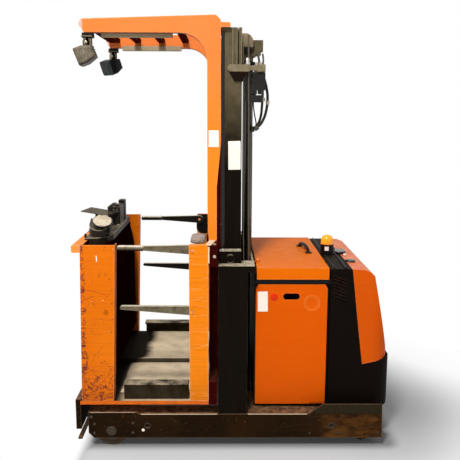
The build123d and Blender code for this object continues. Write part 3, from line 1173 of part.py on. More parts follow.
write("outer_mast", make_outer_mast())
write("inner_mast", make_inner_mast())
barrel, rod = make_cylinder()
write("lift_barrels", pair(barrel))
write("lift_rods", pair(rod))
write("chain_pulleys", pair(make_pulley()))
write("lift_chains", pair(make_chain()))
write("mast_hoses", make_mast_hoses())

write("body_shell", make_body_shell())
write("battery_lid", make_lid())
battery_x = BODY_FRONT_X + BULKHEAD + BATTERY_GAP
battery_y = BATTERY_SIZE[1] / 2
write("battery", slab((battery_x, battery_x + BATTERY_SIZE[0]), (-battery_y, battery_y),
                      (LEG_TOP, LEG_TOP + BATTERY_SIZE[2])))
write("power_housing", make_power_housing())
write("rear_cover", make_rear_cover())
beacon_base, beacon_dome = make_beacon()
write("beacon_base", beacon_base)
write("beacon_dome", beacon_dome)

write("cab_frame", make_cab_frame())
write("cab_floor", make_cab_floor())
write("floor_mat", make_floor_mat())
write("sprung_platform", make_sprung_platform())
write("console_panels", pair(make_console_panel(FLOOR_TOP), mirrored(make_console_panel(PLATFORM_TOP))))
write("console_body", make_console_body())
write("console_collar", make_console_collar())
write("control_dash", make_dash())
control_pod, steering_disc, hand_controls = make_controls()
write("control_pod", control_pod)
write("steering_disc", steering_disc)
write("hand_controls", hand_controls)
write("writing_board", make_writing_board())
write("cab_posts", pair(make_post()))
write("back_pad", make_back_pad())
write("toe_boards", pair(make_toe_board(FLOOR_TOP), mirrored(make_toe_board(PLATFORM_TOP))))
write("overhead_guard", pair(make_guard_side()))
write("guard_bars", make_guard_bars())
write("guard_strips", pair(make_guard_strip()))
write("work_lights", pair(make_work_light(0), mirrored(make_work_light(LIGHT_FAR_TURN))))
write("fork_carriage", make_fork_carriage())
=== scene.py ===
import math
import bmesh
import bpy
from mathutils import Matrix, Vector, noise
from mathutils.bvhtree import BVHTree


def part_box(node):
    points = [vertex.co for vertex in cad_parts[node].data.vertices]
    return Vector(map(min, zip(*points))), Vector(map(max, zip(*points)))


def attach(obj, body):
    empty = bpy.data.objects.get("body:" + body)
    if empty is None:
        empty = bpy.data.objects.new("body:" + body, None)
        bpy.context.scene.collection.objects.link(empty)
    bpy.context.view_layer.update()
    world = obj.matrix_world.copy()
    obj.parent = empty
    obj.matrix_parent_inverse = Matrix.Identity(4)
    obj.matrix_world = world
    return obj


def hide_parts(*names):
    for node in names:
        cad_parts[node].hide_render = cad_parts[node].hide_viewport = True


# Dresses the order picker truck. Metres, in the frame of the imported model: +X to the power unit,
# +Y to the far side, +Z up, origin on the floor in the middle of the truck.

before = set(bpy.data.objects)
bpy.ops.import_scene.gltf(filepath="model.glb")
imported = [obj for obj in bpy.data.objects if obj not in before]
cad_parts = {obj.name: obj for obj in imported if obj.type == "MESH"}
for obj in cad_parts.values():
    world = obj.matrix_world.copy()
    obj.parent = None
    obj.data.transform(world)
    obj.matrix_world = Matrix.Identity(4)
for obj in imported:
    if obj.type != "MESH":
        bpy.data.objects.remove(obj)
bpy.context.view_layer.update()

# Camera at the photograph's place; pixels are those of the photograph, 460 to a side
FOCAL_PX = 663.0
HALF_PX = 230.0
PITCH, YAW, ROLL = (math.radians(a) for a in (9.775, 0.606, 0.21))
CAMERA_AT = Vector((-0.067, -3.938, 1.791))
SENSOR = 36.0

ahead = Vector((math.sin(YAW) * math.cos(PITCH), math.cos(YAW) * math.cos(PITCH), -math.sin(PITCH)))
level = Vector((math.cos(YAW), -math.sin(YAW), 0.0))
down = ahead.cross(level)
cam_right = level * math.cos(ROLL) - down * math.sin(ROLL)
cam_down = level * math.sin(ROLL) + down * math.cos(ROLL)
node_trees = {}


def sight(px, py):
    """Direction from the camera through that place of the photograph."""
    return ahead * FOCAL_PX + cam_right * (px - HALF_PX) + cam_down * (py - HALF_PX)


def seen(px, py, y):
    """The point at that place of the photograph, on the plane across Y."""
    ray = sight(px, py)
    return CAMERA_AT + ray * ((y - CAMERA_AT.y) / ray.y)


def seen_z(px, py, z):
    """The point at that place of the photograph, on the level plane z."""
    ray = sight(px, py)
    return CAMERA_AT + ray * ((z - CAMERA_AT.z) / ray.z)


def surface_at(node_name, px, py):
    """Where the line of sight through that place meets the node, and the face's normal there."""
    if node_name not in node_trees:
        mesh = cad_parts[node_name].data
        corners = [v.co for v in mesh.vertices]
        node_trees[node_name] = BVHTree.FromPolygons(corners, [p.vertices for p in mesh.polygons])
    point, normal, _, _ = node_trees[node_name].ray_cast(CAMERA_AT, sight(px, py).normalized())
    if point is None:
        raise ValueError(f"{node_name} isn't at {px}, {py}")
    return point, normal


def make_camera():
    data = bpy.data.cameras.new("camera")
    data.sensor_width = data.sensor_height = SENSOR
    data.sensor_fit = "HORIZONTAL"
    data.lens = SENSOR * FOCAL_PX / (2 * HALF_PX)
    camera = bpy.data.objects.new("camera", data)
    bpy.context.scene.collection.objects.link(camera)
    camera.matrix_world = Matrix((*((cam_right[i], -cam_down[i], -ahead[i], CAMERA_AT[i]) for i in range(3)),
                                  (0, 0, 0, 1)))
    bpy.context.scene.camera = camera
    bpy.context.scene.view_settings.view_transform = "Standard"


make_camera()


# Materials
class Value:
    """A node's output, with arithmetic that adds math nodes."""

    def __init__(self, graph, socket):
        self.graph = graph
        self.socket = socket

    def __add__(self, other):
        return self.graph.math("ADD", self, other)

    def __sub__(self, other):
        return self.graph.math("SUBTRACT", self, other)

    def __rsub__(self, other):
        return self.graph.math("SUBTRACT", other, self)

    def __mul__(self, other):
        return self.graph.math("MULTIPLY", self, other)

    def __neg__(self):
        return self * -1.0


class Graph:
    """A node material in the making, on object coordinates in metres."""

    def __init__(self, name):
        self.material = bpy.data.materials.new(name)
        self.material.use_nodes = True
        self.tree = self.material.node_tree
        self.tree.nodes.clear()
        self.out = self.node("ShaderNodeOutputMaterial")
        self.shader = self.node("ShaderNodeBsdfPrincipled")
        self.wire(self.shader.outputs[0], self.out.inputs["Surface"])
        self.place = self.node("ShaderNodeTexCoord").outputs["Object"]
        self.x, self.y, self.z = self.parts(self.place)
        self.normal = self.node("ShaderNodeNewGeometry").outputs["Normal"]
        self.rearward, _, self.up = self.parts(self.normal)

    def node(self, kind, **settings):
        made = self.tree.nodes.new(kind)
        for key, value in settings.items():
            setattr(made, key, value)
        return made

    def wire(self, value, socket):
        """Joins an output to an input, or sets the input to a constant."""
        if isinstance(value, Value):
            value = value.socket
        if isinstance(value, bpy.types.NodeSocket):
            self.tree.links.new(value, socket)
        elif isinstance(value, tuple) and socket.type == "RGBA":
            socket.default_value = (*value, 1.0)
        else:
            socket.default_value = value

    def parts(self, vector):
        split = self.node("ShaderNodeSeparateXYZ")
        self.wire(vector, split.inputs[0])
        return [Value(self, socket) for socket in split.outputs]

    def math(self, operation, a, b=0.0):
        made = self.node("ShaderNodeMath", operation=operation)
        self.wire(a, made.inputs[0])
        self.wire(b, made.inputs[1])
        return Value(self, made.outputs[0])

    def highest(self, a, b):
        return self.math("MAXIMUM", a, b)

    def step(self, value, low, high):
        """0 below low, 1 above high, smooth between them."""
        made = self.node("ShaderNodeMapRange", interpolation_type="SMOOTHSTEP", clamp=True)
        self.wire(value, made.inputs["Value"])
        made.inputs["From Min"].default_value = low
        made.inputs["From Max"].default_value = high
        return Value(self, made.outputs[0])

    def mix(self, share, a, b):
        """Colour a, turning into colour b where the share is 1."""
        made = self.node("ShaderNodeMix", data_type="RGBA", clamp_factor=True)
        self.wire(share, made.inputs["Factor"])
        colours = [socket for socket in made.inputs if socket.type == "RGBA"]
        self.wire(a, colours[0])
        self.wire(b, colours[1])
        return Value(self, next(socket for socket in made.outputs if socket.type == "RGBA"))

    def mapped(self, scale=(1, 1, 1), turn=(0, 0, 0), shift=(0, 0, 0)):
        made = self.node("ShaderNodeMapping")
        self.wire(self.place, made.inputs[0])
        made.inputs["Location"].default_value = shift
        made.inputs["Rotation"].default_value = turn
        made.inputs["Scale"].default_value = scale
        return made.outputs[0]

    def noise(self, scale, detail=3.0, rough=0.55, place=None, bend=0.0):
        made = self.node("ShaderNodeTexNoise")
        self.wire(place or self.place, made.inputs["Vector"])
        made.inputs["Scale"].default_value = scale
        made.inputs["Detail"].default_value = detail
        made.inputs["Roughness"].default_value = rough
        made.inputs["Distortion"].default_value = bend
        return Value(self, made.outputs["Fac"])

    def cloud(self, scale, detail, rough, low, high, place=None):
        return self.step(self.noise(scale, detail, rough, place), low, high)

    def cracks(self, place, width):
        """Thin lines along the borders of stretched cells."""
        made = self.node("ShaderNodeTexVoronoi", feature="DISTANCE_TO_EDGE")
        self.wire(place, made.inputs["Vector"])
        made.inputs["Scale"].default_value = 1.0
        return 1.0 - self.step(made.outputs["Distance"], 0.0, width)

    def curls(self, place, width):
        """Thin wandering lines, where a cloudy noise passes its middle value."""
        off = self.math("ABSOLUTE", self.noise(1.0, 2.0, 0.55, place) - 0.5)
        return 1.0 - self.step(off, 0.0, width)

    def edges(self, radius):
        """1 along the edges of the form, 0 on its flat faces."""
        made = self.node("ShaderNodeBevel", samples=4)
        made.inputs["Radius"].default_value = radius
        dot = self.node("ShaderNodeVectorMath", operation="DOT_PRODUCT")
        self.wire(made.outputs[0], dot.inputs[0])
        self.wire(self.normal, dot.inputs[1])
        return self.step(self.math("SUBTRACT", 1.0, dot.outputs["Value"]), 0.02, 0.22)

    def finish(self, colour, rough, specular, height, depth, strength=0.5, **sockets):
        """Sets the shader, with a bump, and gives the material."""
        sockets.update(Base_Color=colour, Roughness=rough, Specular_IOR_Level=specular)
        for key, value in sockets.items():
            self.wire(value, self.shader.inputs[key.replace("_", " ")])
        made = self.node("ShaderNodeBump")
        made.inputs["Strength"].default_value = strength
        made.inputs["Distance"].default_value = depth
        self.wire(height, made.inputs["Height"])
        self.wire(made.outputs[0], self.shader.inputs["Normal"])
        return self.material


GRIME = (0.03, 0.014, 0.006)
PALE_SCRATCH = (0.9, 0.55, 0.3)
SKIN_DEPTH = 0.0008


def add_scratches(g, colour, height, scratch, share):
    """Fine straight scratches in three directions, in patches."""
    for angle, shift, dense in ((0.62, 8.7, 24.0), (-0.45, 5.2, 17.0), (0.05, 3.1, 30.0)):
        line = g.cracks(g.mapped((1.3, 1.3, dense), (0, angle, 0), (shift, shift, shift)), 0.010)
        patches = g.cloud(3.5, 3.0, 0.6, 0.5, 0.6, g.mapped(shift=(shift, 0, 0)))
        line = line * patches * share
        colour = g.mix(line, colour, scratch)
        height = height - line * 0.5
    return colour, height


def add_scribble(g, colour, height, chip, share):
    """Bold dark marks, thickest on the console's front edge and low down."""
    front = 1.0 - g.step(g.x, -0.812, -0.782)
    low = 1.0 - g.step(g.z, 0.36, 0.50)
    denser = front * 0.26 + low * 0.13
    for turn, spread, shift in ((0.3, (34.0, 34.0, 17.0), 2.3), (-0.9, (20.0, 20.0, 46.0), 7.1),
                                (1.35, (5.0, 5.0, 60.0), 4.9)):
        line = g.curls(g.mapped(spread, (0, turn, 0), (shift, 0, shift)), 0.030)
        patches = g.step(g.noise(13.0, 5.0, 0.75, g.mapped(shift=(0, shift, 0))) + denser, 0.59, 0.63)
        line = line * patches * share
        colour = g.mix(line, colour, chip)
        height = height - line
    return colour, height


def enamel(name, base, second, rough, specular, chip, chips, edge, edge_share, scratch=PALE_SCRATCH,
           scratches=0.0, scribble=0.0, dust_and_lit_top=GRIME, dusty=0.0, grime=0.0, grime_top=0.5, patch=0.35,
           brushed=0.0, coat=None):
    """Worn enamel: cloudy colour, brush strokes, dust on top, partly a painted lighter top, grime low down,
    chips, scratches, worn edges, partly a painted highlight. The coat is a function that changes the colour
    in places of its own."""
    g = Graph(name)
    colour = g.mix(g.cloud(3.0, 4.0, 0.6, 0.35, 0.7) * patch, base, second)
    if brushed:
        stroke = g.cloud(1.0, 5.0, 0.75, 0.45, 0.68, g.mapped((2.2, 2.2, 150.0)))
        colour = g.mix(stroke * brushed, colour, tuple(c * 0.55 for c in base))
    # Top faces go toward the dust colour: dust, and on door, lid and cover a painted lighter top.
    if dusty:
        top = g.step(g.up, 0.3, 0.9) * g.cloud(26.0, 5.0, 0.7, 0.25, 0.7)
        colour = g.mix(top * dusty, colour, dust_and_lit_top)
    if grime:
        low = 1.0 - g.step(g.z, 0.2, grime_top)
        colour = g.mix(low * g.noise(9.0, 5.0, 0.7) * grime, colour, GRIME)
    if coat:
        colour = coat(g, colour)
    marks = g.cloud(58.0, 6.0, 0.72, chips, chips + 0.03)
    height = -marks
    if scratches:
        colour, height = add_scratches(g, colour, height, scratch, scratches)
    if scribble:
        colour, height = add_scribble(g, colour, height, chip, scribble)
    colour = g.mix(marks, colour, chip)
    # Pale worn edges: wear, and partly a painted highlight along the lit edges.
    worn_and_lit_edges = g.edges(0.005) * g.cloud(22.0, 4.0, 0.65, 0.15, 0.42)
    colour = g.mix(worn_and_lit_edges * edge_share, colour, edge)
    skin = height + g.noise(420.0, 2.0) * 0.25
    return g.finish(colour, g.noise(17.0, 3.0) * 0.18 + rough, specular, skin, SKIN_DEPTH)


def bare_metal(name, base, second, rough, metallic=1.0, brushed=(1, 1, 1), rust=0.0):
    """Bare or plated metal with a grain and rust spots."""
    g = Graph(name)
    grain = g.noise(60.0, 4.0, 0.7, g.mapped(brushed))
    spots = g.cloud(38.0, 6.0, 0.75, 0.6, 0.68)
    colour = g.mix(spots * rust, g.mix(grain, base, second), (0.10, 0.035, 0.012))
    return g.finish(colour, grain * 0.2 + rough, 0.5, grain, 0.0004, 0.4, Metallic=metallic)


def rubber(name, base, dust_and_lit_top, dusty, rough, grain, everywhere, specular, wrinkle=0.0):
    """Rubber or moulded plastic with a fine grain and dust where it can lie."""
    g = Graph(name)
    share = g.highest(g.step(g.up, 0.3, 0.95), everywhere)
    colour = g.mix(g.cloud(9.0, 5.0, 0.7, 0.3, 0.75) * share * dusty, base, dust_and_lit_top)
    height = g.noise(grain, 3.0)
    if wrinkle:
        height = height + g.noise(70.0, 2.0, 0.5, bend=1.5) * wrinkle
    return g.finish(colour, rough, specular, height, 0.001)


# Painted shade: faces turned down go toward a dark red-brown.
def painted_shade_below(g, colour, share):
    return g.mix(g.step(-g.up, 0.4, 0.8) * share, colour, (0.05, 0.004, 0.002))


def guard_coat(g, colour):
    """More orange down the upright, a pale folded tip, and painted shade on the underside."""
    lower = 1.0 - g.step(g.z, 1.45, 2.25)
    colour = g.mix(lower * 0.7, colour, (0.76, 0.222, 0.004))
    tip = 1.0 - g.step(g.x, -0.790, -0.784)
    colour = g.mix(tip * 0.9, colour, (0.62, 0.36, 0.29))
    return painted_shade_below(g, colour, 0.85)


# The bars' downward faces get the same painted shade.
def bars_coat(g, colour):
    return painted_shade_below(g, colour, 0.9)


def console_coat(g, colour):
    """The console's outside, towards the forks, has the panels' colour."""
    outside = g.step(-g.rearward, 0.4, 0.6) * (1.0 - g.step(g.x, -0.79, -0.78))
    return g.mix(outside, colour, (0.68, 0.150, 0.004))


def frame_coat(g, colour):
    """Rust on the rear sides of the chassis, and a greenish strip above it."""
    rear = g.step(g.x, 0.44, 0.52) * (1.0 - g.step(g.z, 0.182, 0.190))
    rust = g.cloud(8.0, 6.0, 0.75, 0.35, 0.7, g.mapped((1.0, 1.0, 2.4)))
    colour = g.mix(rear * rust * 0.85, colour, (0.105, 0.040, 0.008))
    strip = g.step(g.x, 0.40, 0.46) * g.step(g.z, 0.186, 0.192)
    return g.mix(strip * 0.85, colour, (0.020, 0.016, 0.008))


DARK_CHIP = (0.12, 0.02, 0.01)
ORANGE_SCRATCH = (0.9, 0.3, 0.1)
IRON_CHIP = (0.02, 0.012, 0.008)

# The guard's pale worn edges are partly a painted highlight.
GUARD = enamel("guard_enamel", (0.72, 0.172, 0.036), (0.76, 0.205, 0.058), 0.42, 0.04, (0.25, 0.03, 0.015),
               0.75, (1.0, 0.58, 0.36), 0.85, scratches=0.12, dusty=0.5, dust_and_lit_top=(0.95, 0.5, 0.3), brushed=0.10,
               coat=guard_coat)
# The guard's cross bars are orange in shade: their dark red is painted shade.
BARS_PAINTED_SHADE = enamel("bar_painted_shade", (0.075, 0.006, 0.002), (0.11, 0.010, 0.003), 0.6, 0.0, (0.02, 0.005, 0.003),
              0.75, (0.95, 0.45, 0.2), 0.5, coat=bars_coat)
PANEL = enamel("panel_enamel", (0.66, 0.140, 0.003), (0.74, 0.185, 0.008), 0.42, 0.03, (0.10, 0.014, 0.022),
               0.675, (0.97, 0.50, 0.25), 0.8, (0.28, 0.035, 0.015), 0.75, scribble=1.0, grime=0.5,
               grime_top=0.45, brushed=0.28)
COLLAR = enamel("collar_enamel", (0.78, 0.24, 0.040), (0.82, 0.29, 0.075), 0.42, 0.03, (0.20, 0.03, 0.02),
                0.74, (1.0, 0.62, 0.40), 0.8, (0.5, 0.1, 0.05), 0.3, brushed=0.1)
POST = enamel("post_enamel", (0.76, 0.195, 0.005), (0.82, 0.24, 0.010), 0.4, 0.03, (0.16, 0.02, 0.012), 0.68,
              (0.99, 0.58, 0.38), 0.9, (0.97, 0.52, 0.22), 0.75, grime=0.45, brushed=0.35)
# Door, lid and cover: the lighter orange on their top faces is a painted lighter top; on the cover it is a
# painted highlight with some dust.
DOOR = enamel("door_enamel", (0.63, 0.086, 0.0008), (0.68, 0.102, 0.002), 0.34, 0.03, DARK_CHIP, 0.75,
              (0.95, 0.36, 0.08), 0.35, ORANGE_SCRATCH, 0.10, grime=0.2, dusty=0.15, dust_and_lit_top=(0.94, 0.30, 0.03),
              brushed=0.06)
LID = enamel("lid_enamel", (0.68, 0.125, 0.0015), (0.72, 0.15, 0.002), 0.34, 0.02, DARK_CHIP, 0.76,
             (0.97, 0.42, 0.14), 0.6, ORANGE_SCRATCH, 0.10, dusty=0.25, dust_and_lit_top=(0.90, 0.28, 0.02))
COVER = enamel("cover_enamel", (0.57, 0.076, 0.0008), (0.61, 0.09, 0.002), 0.3, 0.05, DARK_CHIP, 0.74,
               (0.95, 0.40, 0.20), 0.55, ORANGE_SCRATCH, 0.14, dusty=0.75, dust_and_lit_top=(0.86, 0.30, 0.14))
# The cab frame is orange paint in shade: its dark red is painted shade.
CAB_FRAME_SHADE = enamel("cab_frame_painted_shade", (0.024, 0.001, 0.0006), (0.034, 0.0015, 0.0008), 0.45, 0.02,
                  (0.02, 0.006, 0.004), 0.70, (0.22, 0.03, 0.015), 0.4, (0.20, 0.03, 0.02), 0.2, dusty=0.2,
                  dust_and_lit_top=(0.20, 0.06, 0.03))
# The console body's near black inside is painted shade; its outside towards the forks has the panels'
# orange.
CONSOLE_SHADE = enamel("console_painted_shade", (0.009, 0.0004, 0.0002), (0.014, 0.0006, 0.0003), 0.9, 0.0,
                  (0.004, 0.001, 0.0006), 0.72, (0.05, 0.004, 0.002), 0.3, (0.04, 0.004, 0.002), 0.15,
                  coat=console_coat)
FRAME = enamel("frame_enamel", (0.009, 0.0040, 0.0008), (0.022, 0.009, 0.0025), 0.55, 0.04,
               (0.085, 0.03, 0.008), 0.635, (0.20, 0.11, 0.05), 0.7, (0.06, 0.03, 0.012), 0.5, dusty=0.85,
               dust_and_lit_top=(0.26, 0.14, 0.07), patch=0.8, coat=frame_coat)
CASTING = enamel("casting_enamel", (0.05, 0.045, 0.035), (0.09, 0.08, 0.06), 0.6, 0.1, IRON_CHIP, 0.66,
                 (0.2, 0.16, 0.11), 0.5, dusty=0.5, dust_and_lit_top=(0.25, 0.18, 0.11))
OLIVE = enamel("olive_enamel", (0.10, 0.080, 0.050), (0.15, 0.122, 0.08), 0.5, 0.08, IRON_CHIP, 0.66,
               (0.40, 0.34, 0.25), 0.6, dusty=0.85, dust_and_lit_top=(0.45, 0.37, 0.25))
STEEL = bare_metal("steel_bright", (0.62, 0.6, 0.56), (0.45, 0.43, 0.4), 0.3, 1.0, (1, 1, 12))
BOLT = bare_metal("bolt_zinc", (0.55, 0.50, 0.42), (0.36, 0.31, 0.24), 0.4, 0.8, rust=0.5)
DARK_BOLT = bare_metal("bolt_black", (0.012, 0.010, 0.009), (0.03, 0.026, 0.02), 0.35, 0.3, rust=0.2)
CAP = bare_metal("axle_cap", (0.05, 0.035, 0.02), (0.02, 0.013, 0.008), 0.55, 0.3, rust=0.7)
CHAIN = bare_metal("chain_steel", (0.12, 0.10, 0.075), (0.06, 0.05, 0.035), 0.45, 0.7, rust=0.5)
SHEAVE = bare_metal("sheave_cast", (0.22, 0.155, 0.085), (0.13, 0.09, 0.05), 0.55, 0.4, rust=0.5)
# Pale tan edge strips on the frame: a painted highlight, partly worn bare metal.
WORN_EDGE_HIGHLIGHT = bare_metal("worn_edge_highlight", (0.72, 0.58, 0.40), (0.30, 0.20, 0.11), 0.5, 0.2, rust=0.35)
CHANNEL_EDGE = bare_metal("channel_edge", (0.12, 0.10, 0.065), (0.05, 0.04, 0.025), 0.4, 0.5, rust=0.3)
BLACK = rubber("black_plastic", (0.0035, 0.0018, 0.0010), (0.05, 0.035, 0.02), 0.3, 0.6, 500.0, 0.06, 0.04)
TRIM = rubber("trim_black", (0.0030, 0.0022, 0.0015), (0.06, 0.045, 0.03), 0.35, 0.5, 300.0, 0.08, 0.12)
GLOSS = rubber("gloss_black", (0.0030, 0.0020, 0.0012), (0.05, 0.04, 0.03), 0.3, 0.22, 300.0, 0.05, 0.35)
ROLLER = rubber("roller_polyurethane", (0.030, 0.020, 0.012), (0.14, 0.085, 0.05), 0.8, 0.6, 200.0, 0.6, 0.1)
TYRE = rubber("tyre_rubber", (0.010, 0.009, 0.008), (0.13, 0.10, 0.07), 0.7, 0.8, 200.0, 0.5, 0.1)
HOSE = rubber("hose_rubber", (0.008, 0.007, 0.005), (0.10, 0.085, 0.05), 0.6, 0.4, 400.0, 0.45, 0.2)
PAD = rubber("pad_skin", (0.22, 0.17, 0.145), (0.42, 0.34, 0.28), 0.9, 0.7, 160.0, 0.5, 0.1)
STRIP = rubber("strip_tan", (0.25, 0.19, 0.115), (0.42, 0.34, 0.22), 0.8, 0.7, 200.0, 0.6, 0.1)
# Near black parts of the far lamp: painted shade.
LAMP_SHADE_DARK = rubber("lamp_shell_painted_shade", (0.006, 0.008, 0.007), (0.10, 0.09, 0.07), 0.35, 0.35, 200.0, 0.1, 0.2)
DASH = rubber("dash_plastic", (0.010, 0.007, 0.005), (0.17, 0.135, 0.085), 0.9, 0.5, 300.0, 0.06, 0.12)
RIM = rubber("dash_rim", (0.13, 0.105, 0.07), (0.30, 0.25, 0.175), 0.8, 0.6, 300.0, 0.5, 0.1)
BOARD = rubber("board_fibre", (0.055, 0.042, 0.022), (0.11, 0.088, 0.055), 0.7, 0.6, 300.0, 0.6, 0.1)
WRAP = rubber("wrap_white", (0.42, 0.34, 0.23), (0.68, 0.59, 0.45), 1.0, 0.4, 120.0, 0.9, 0.2, 1.5)
PLATE = rubber("blank_plate", (0.86, 0.76, 0.68), (0.72, 0.58, 0.48), 0.5, 0.45, 200.0, 0.8, 0.15)
RED = rubber("red_disc", (0.62, 0.02, 0.003), (0.78, 0.08, 0.02), 0.4, 0.5, 200.0, 0.5, 0.1)
KNOB = rubber("orange_knob", (0.80, 0.17, 0.01), (0.9, 0.4, 0.15), 0.4, 0.5, 200.0, 0.2, 0.1)
PALE = rubber("pale_dust", (0.30, 0.25, 0.18), (0.66, 0.58, 0.46), 1.0, 0.7, 200.0, 0.5, 0.1)
TOE = rubber("toe_board", (0.010, 0.006, 0.001), (0.60, 0.48, 0.32), 1.0, 0.5, 200.0, 0.04, 0.04)
# Pale paint for painted highlights on the near post.
PALE_PAINT_HIGHLIGHT = rubber("pale_paint_highlight", (0.80, 0.50, 0.30), (0.90, 0.70, 0.52), 0.9, 0.5, 200.0, 0.7, 0.05)


def arm_material():
    """Gate arm enamel: pale on its upper faces, painted light with some dust; olive face on the near side,
    painted near black on the far arms as shade; black below, painted shade.
    """
    g = Graph("arm_enamel")
    fine = g.cloud(30.0, 5.0, 0.7, 0.2, 0.7)
    face = g.mix(fine, (0.045, 0.034, 0.018), (0.16, 0.13, 0.08))
    # The far arms' faces go near black: painted shade.
    face = g.mix(g.step(g.y, -0.1, 0.1), face, (0.008, 0.006, 0.004))
    pale = g.mix(fine, (0.44, 0.38, 0.27), (0.68, 0.62, 0.48))
    # Upper faces pale: painted light, with some dust.
    colour = g.mix(g.step(g.up + fine * 0.15, 0.40, 0.85), face, pale)
    # Lower faces black: painted shade.
    colour = g.mix(g.step(-g.up, 0.1, 0.5), colour, (0.006, 0.004, 0.003))
    # Pale worn edges, partly a painted highlight.
    worn_and_lit_edges = g.edges(0.004) * g.cloud(22.0, 4.0, 0.65, 0.2, 0.5)
    colour = g.mix(worn_and_lit_edges * 0.4, colour, (0.42, 0.36, 0.26))
    return g.finish(colour, 0.6, 0.08, g.noise(380.0, 3.0), 0.0006, 0.4)


def mast_material():
    """Mast enamel: olive dust on the head of the mast, partly a painted lighter top, worn away to black
    below.
    """
    g = Graph("mast_enamel")
    high = g.step(g.z + g.noise(5.0, 5.0, 0.7) * 0.5, 1.75, 2.35)
    fine = g.cloud(24.0, 5.0, 0.7, 0.15, 0.65)
    dust_and_lit_top = g.mix(fine, (0.050, 0.037, 0.018), (0.100, 0.078, 0.043))
    run = g.cloud(1.0, 4.0, 0.65, 0.5, 0.75, g.mapped((34, 34, 1.6)))
    colour = g.mix(run * 0.35, (0.0035, 0.0018, 0.0006), (0.012, 0.007, 0.003))
    colour = g.mix(high, colour, dust_and_lit_top)
    before_plate = 1.0 - g.step(g.y, -0.404, -0.402)
    bracket_height = g.step(g.z, 2.016, 2.019) * (1.0 - g.step(g.z, 2.056, 2.060))
    bracket = bracket_height * g.highest(before_plate, g.step(g.x, 0.032, 0.036))
    colour = g.mix(bracket, colour, g.mix(fine, (0.085, 0.066, 0.036), (0.18, 0.145, 0.09)))
    gusset = before_plate * g.step(g.z, 1.90, 1.92) * (1.0 - g.step(g.z, 2.014, 2.018))
    colour = g.mix(gusset, colour, (0.006, 0.002, 0.001))
    top = g.step(g.up, 0.4, 0.9) * fine
    colour = g.mix(top * 0.95, colour, (0.52, 0.43, 0.30))
    speck = g.cloud(58.0, 6.0, 0.72, 0.69, 0.71)
    colour = g.mix(speck * 0.7, colour, (0.10, 0.06, 0.03))
    # Pale worn edges, partly a painted highlight.
    worn_and_lit_edges = g.edges(0.003) * g.cloud(18.0, 4.0, 0.65, 0.35, 0.65)
    colour = g.mix(worn_and_lit_edges * 0.45, colour, (0.20, 0.165, 0.11))
    skin = g.noise(420.0, 2.0) * 0.25 - speck
    return g.finish(colour, g.noise(17.0, 3.0) * 0.2 + 0.4, 0.05, skin, SKIN_DEPTH)


def lamp_material():
    """Work lamps: dusty grey shell on the near side, painted shade making it dark on the far side and under
    the shell, olive stem, black clamp above.
    """
    g = Graph("lamp_shell")
    fine = g.cloud(34.0, 5.0, 0.7, 0.2, 0.75)
    streak = g.cloud(1.0, 4.0, 0.7, 0.5, 0.7, g.mapped((90, 20, 20), (0, 0.5, 0)))
    shell = g.mix(fine, (0.062, 0.050, 0.033), (0.15, 0.122, 0.082))
    shell = g.mix(streak * 0.35, shell, (0.36, 0.31, 0.24))
    # Lower faces darker: painted shade.
    shell = g.mix(g.step(-g.up, 0.1, 0.7), shell, (0.045, 0.036, 0.024))
    # The far lamp near black: painted shade.
    shell = g.mix(g.step(g.y, -0.1, 0.1), shell, (0.007, 0.009, 0.008))
    shell = g.mix(g.step(g.z, 2.142, 2.146), shell, (0.11, 0.09, 0.045))
    shell = g.mix(g.step(g.z, 2.176, 2.179), shell, (0.006, 0.003, 0.002))
    return g.finish(shell, 0.45, 0.12, g.noise(200.0, 3.0), SKIN_DEPTH, 0.4)


def floor_plate_material():
    """Cab floor plate: dusty tan tread beside the mats, near black towards the console as its painted
    shadow, orange edge.
    """
    g = Graph("floor_plate")
    # Painted shadow of the console: the tread goes near black towards it.
    console_shadow = g.step(g.x + g.noise(7.0, 4.0) * 0.05, -0.63, -0.56)
    clouds = g.cloud(11.0, 5.0, 0.7, 0.1, 0.7)
    tread = g.mix(console_shadow * (clouds * 0.5 + 0.5), (0.006, 0.004, 0.002), (0.56, 0.42, 0.26))
    scuff = g.cloud(30.0, 5.0, 0.7, 0.45, 0.65, g.mapped((1, 1, 6)))
    side = g.mix(scuff * 0.6, (0.62, 0.12, 0.008), (0.20, 0.05, 0.012))
    colour = g.mix(g.step(g.up, 0.5, 0.9), side, tread)
    return g.finish(colour, 0.7, 0.06, scuff + g.noise(300.0), 0.0006, 0.4)


def platform_material():
    """Dusty ribbed mat, near black towards the console as its painted shadow."""
    g = Graph("platform_rubber")
    line = g.x + g.noise(5.0, 4.0) * 0.10 - g.step(g.y, -0.02, 0.02) * 0.10
    # Painted shadow of the console on the mat.
    console_shadow = g.step(line, -0.62, -0.55)
    clouds = g.cloud(11.0, 5.0, 0.7, 0.1, 0.7) * 0.45 + 0.55
    share = console_shadow * clouds * g.highest(g.step(g.up, 0.2, 0.9), 0.06)
    wave = g.node("ShaderNodeTexWave", bands_direction="Y", wave_profile="SIN")
    g.wire(g.mapped((1, 24, 1)), wave.inputs["Vector"])
    wave.inputs["Scale"].default_value = 1.0
    rib = Value(g, wave.outputs["Fac"])
    share = share - rib * 0.25 * share
    colour = g.mix(share, (0.008, 0.005, 0.002), (0.92, 0.74, 0.50))
    return g.finish(colour, 0.8, 0.06, rib + g.noise(260.0) * 0.4, 0.001)


def lens_material(name, base, rough, glow, coat):
    """Moulded lens or glass, with a clear coat and a slight glow of its own."""
    g = Graph(name)
    lighter = tuple(min(1.0, c * 1.35 + 0.02) for c in base)
    colour = g.mix(g.cloud(30.0, 3.0, 0.55, 0.3, 0.7), base, lighter)
    return g.finish(colour, rough, 0.1, g.noise(90.0), 0.0006, 0.3, Coat_Weight=coat, Coat_Roughness=0.08,
                    Emission_Color=base, Emission_Strength=glow)


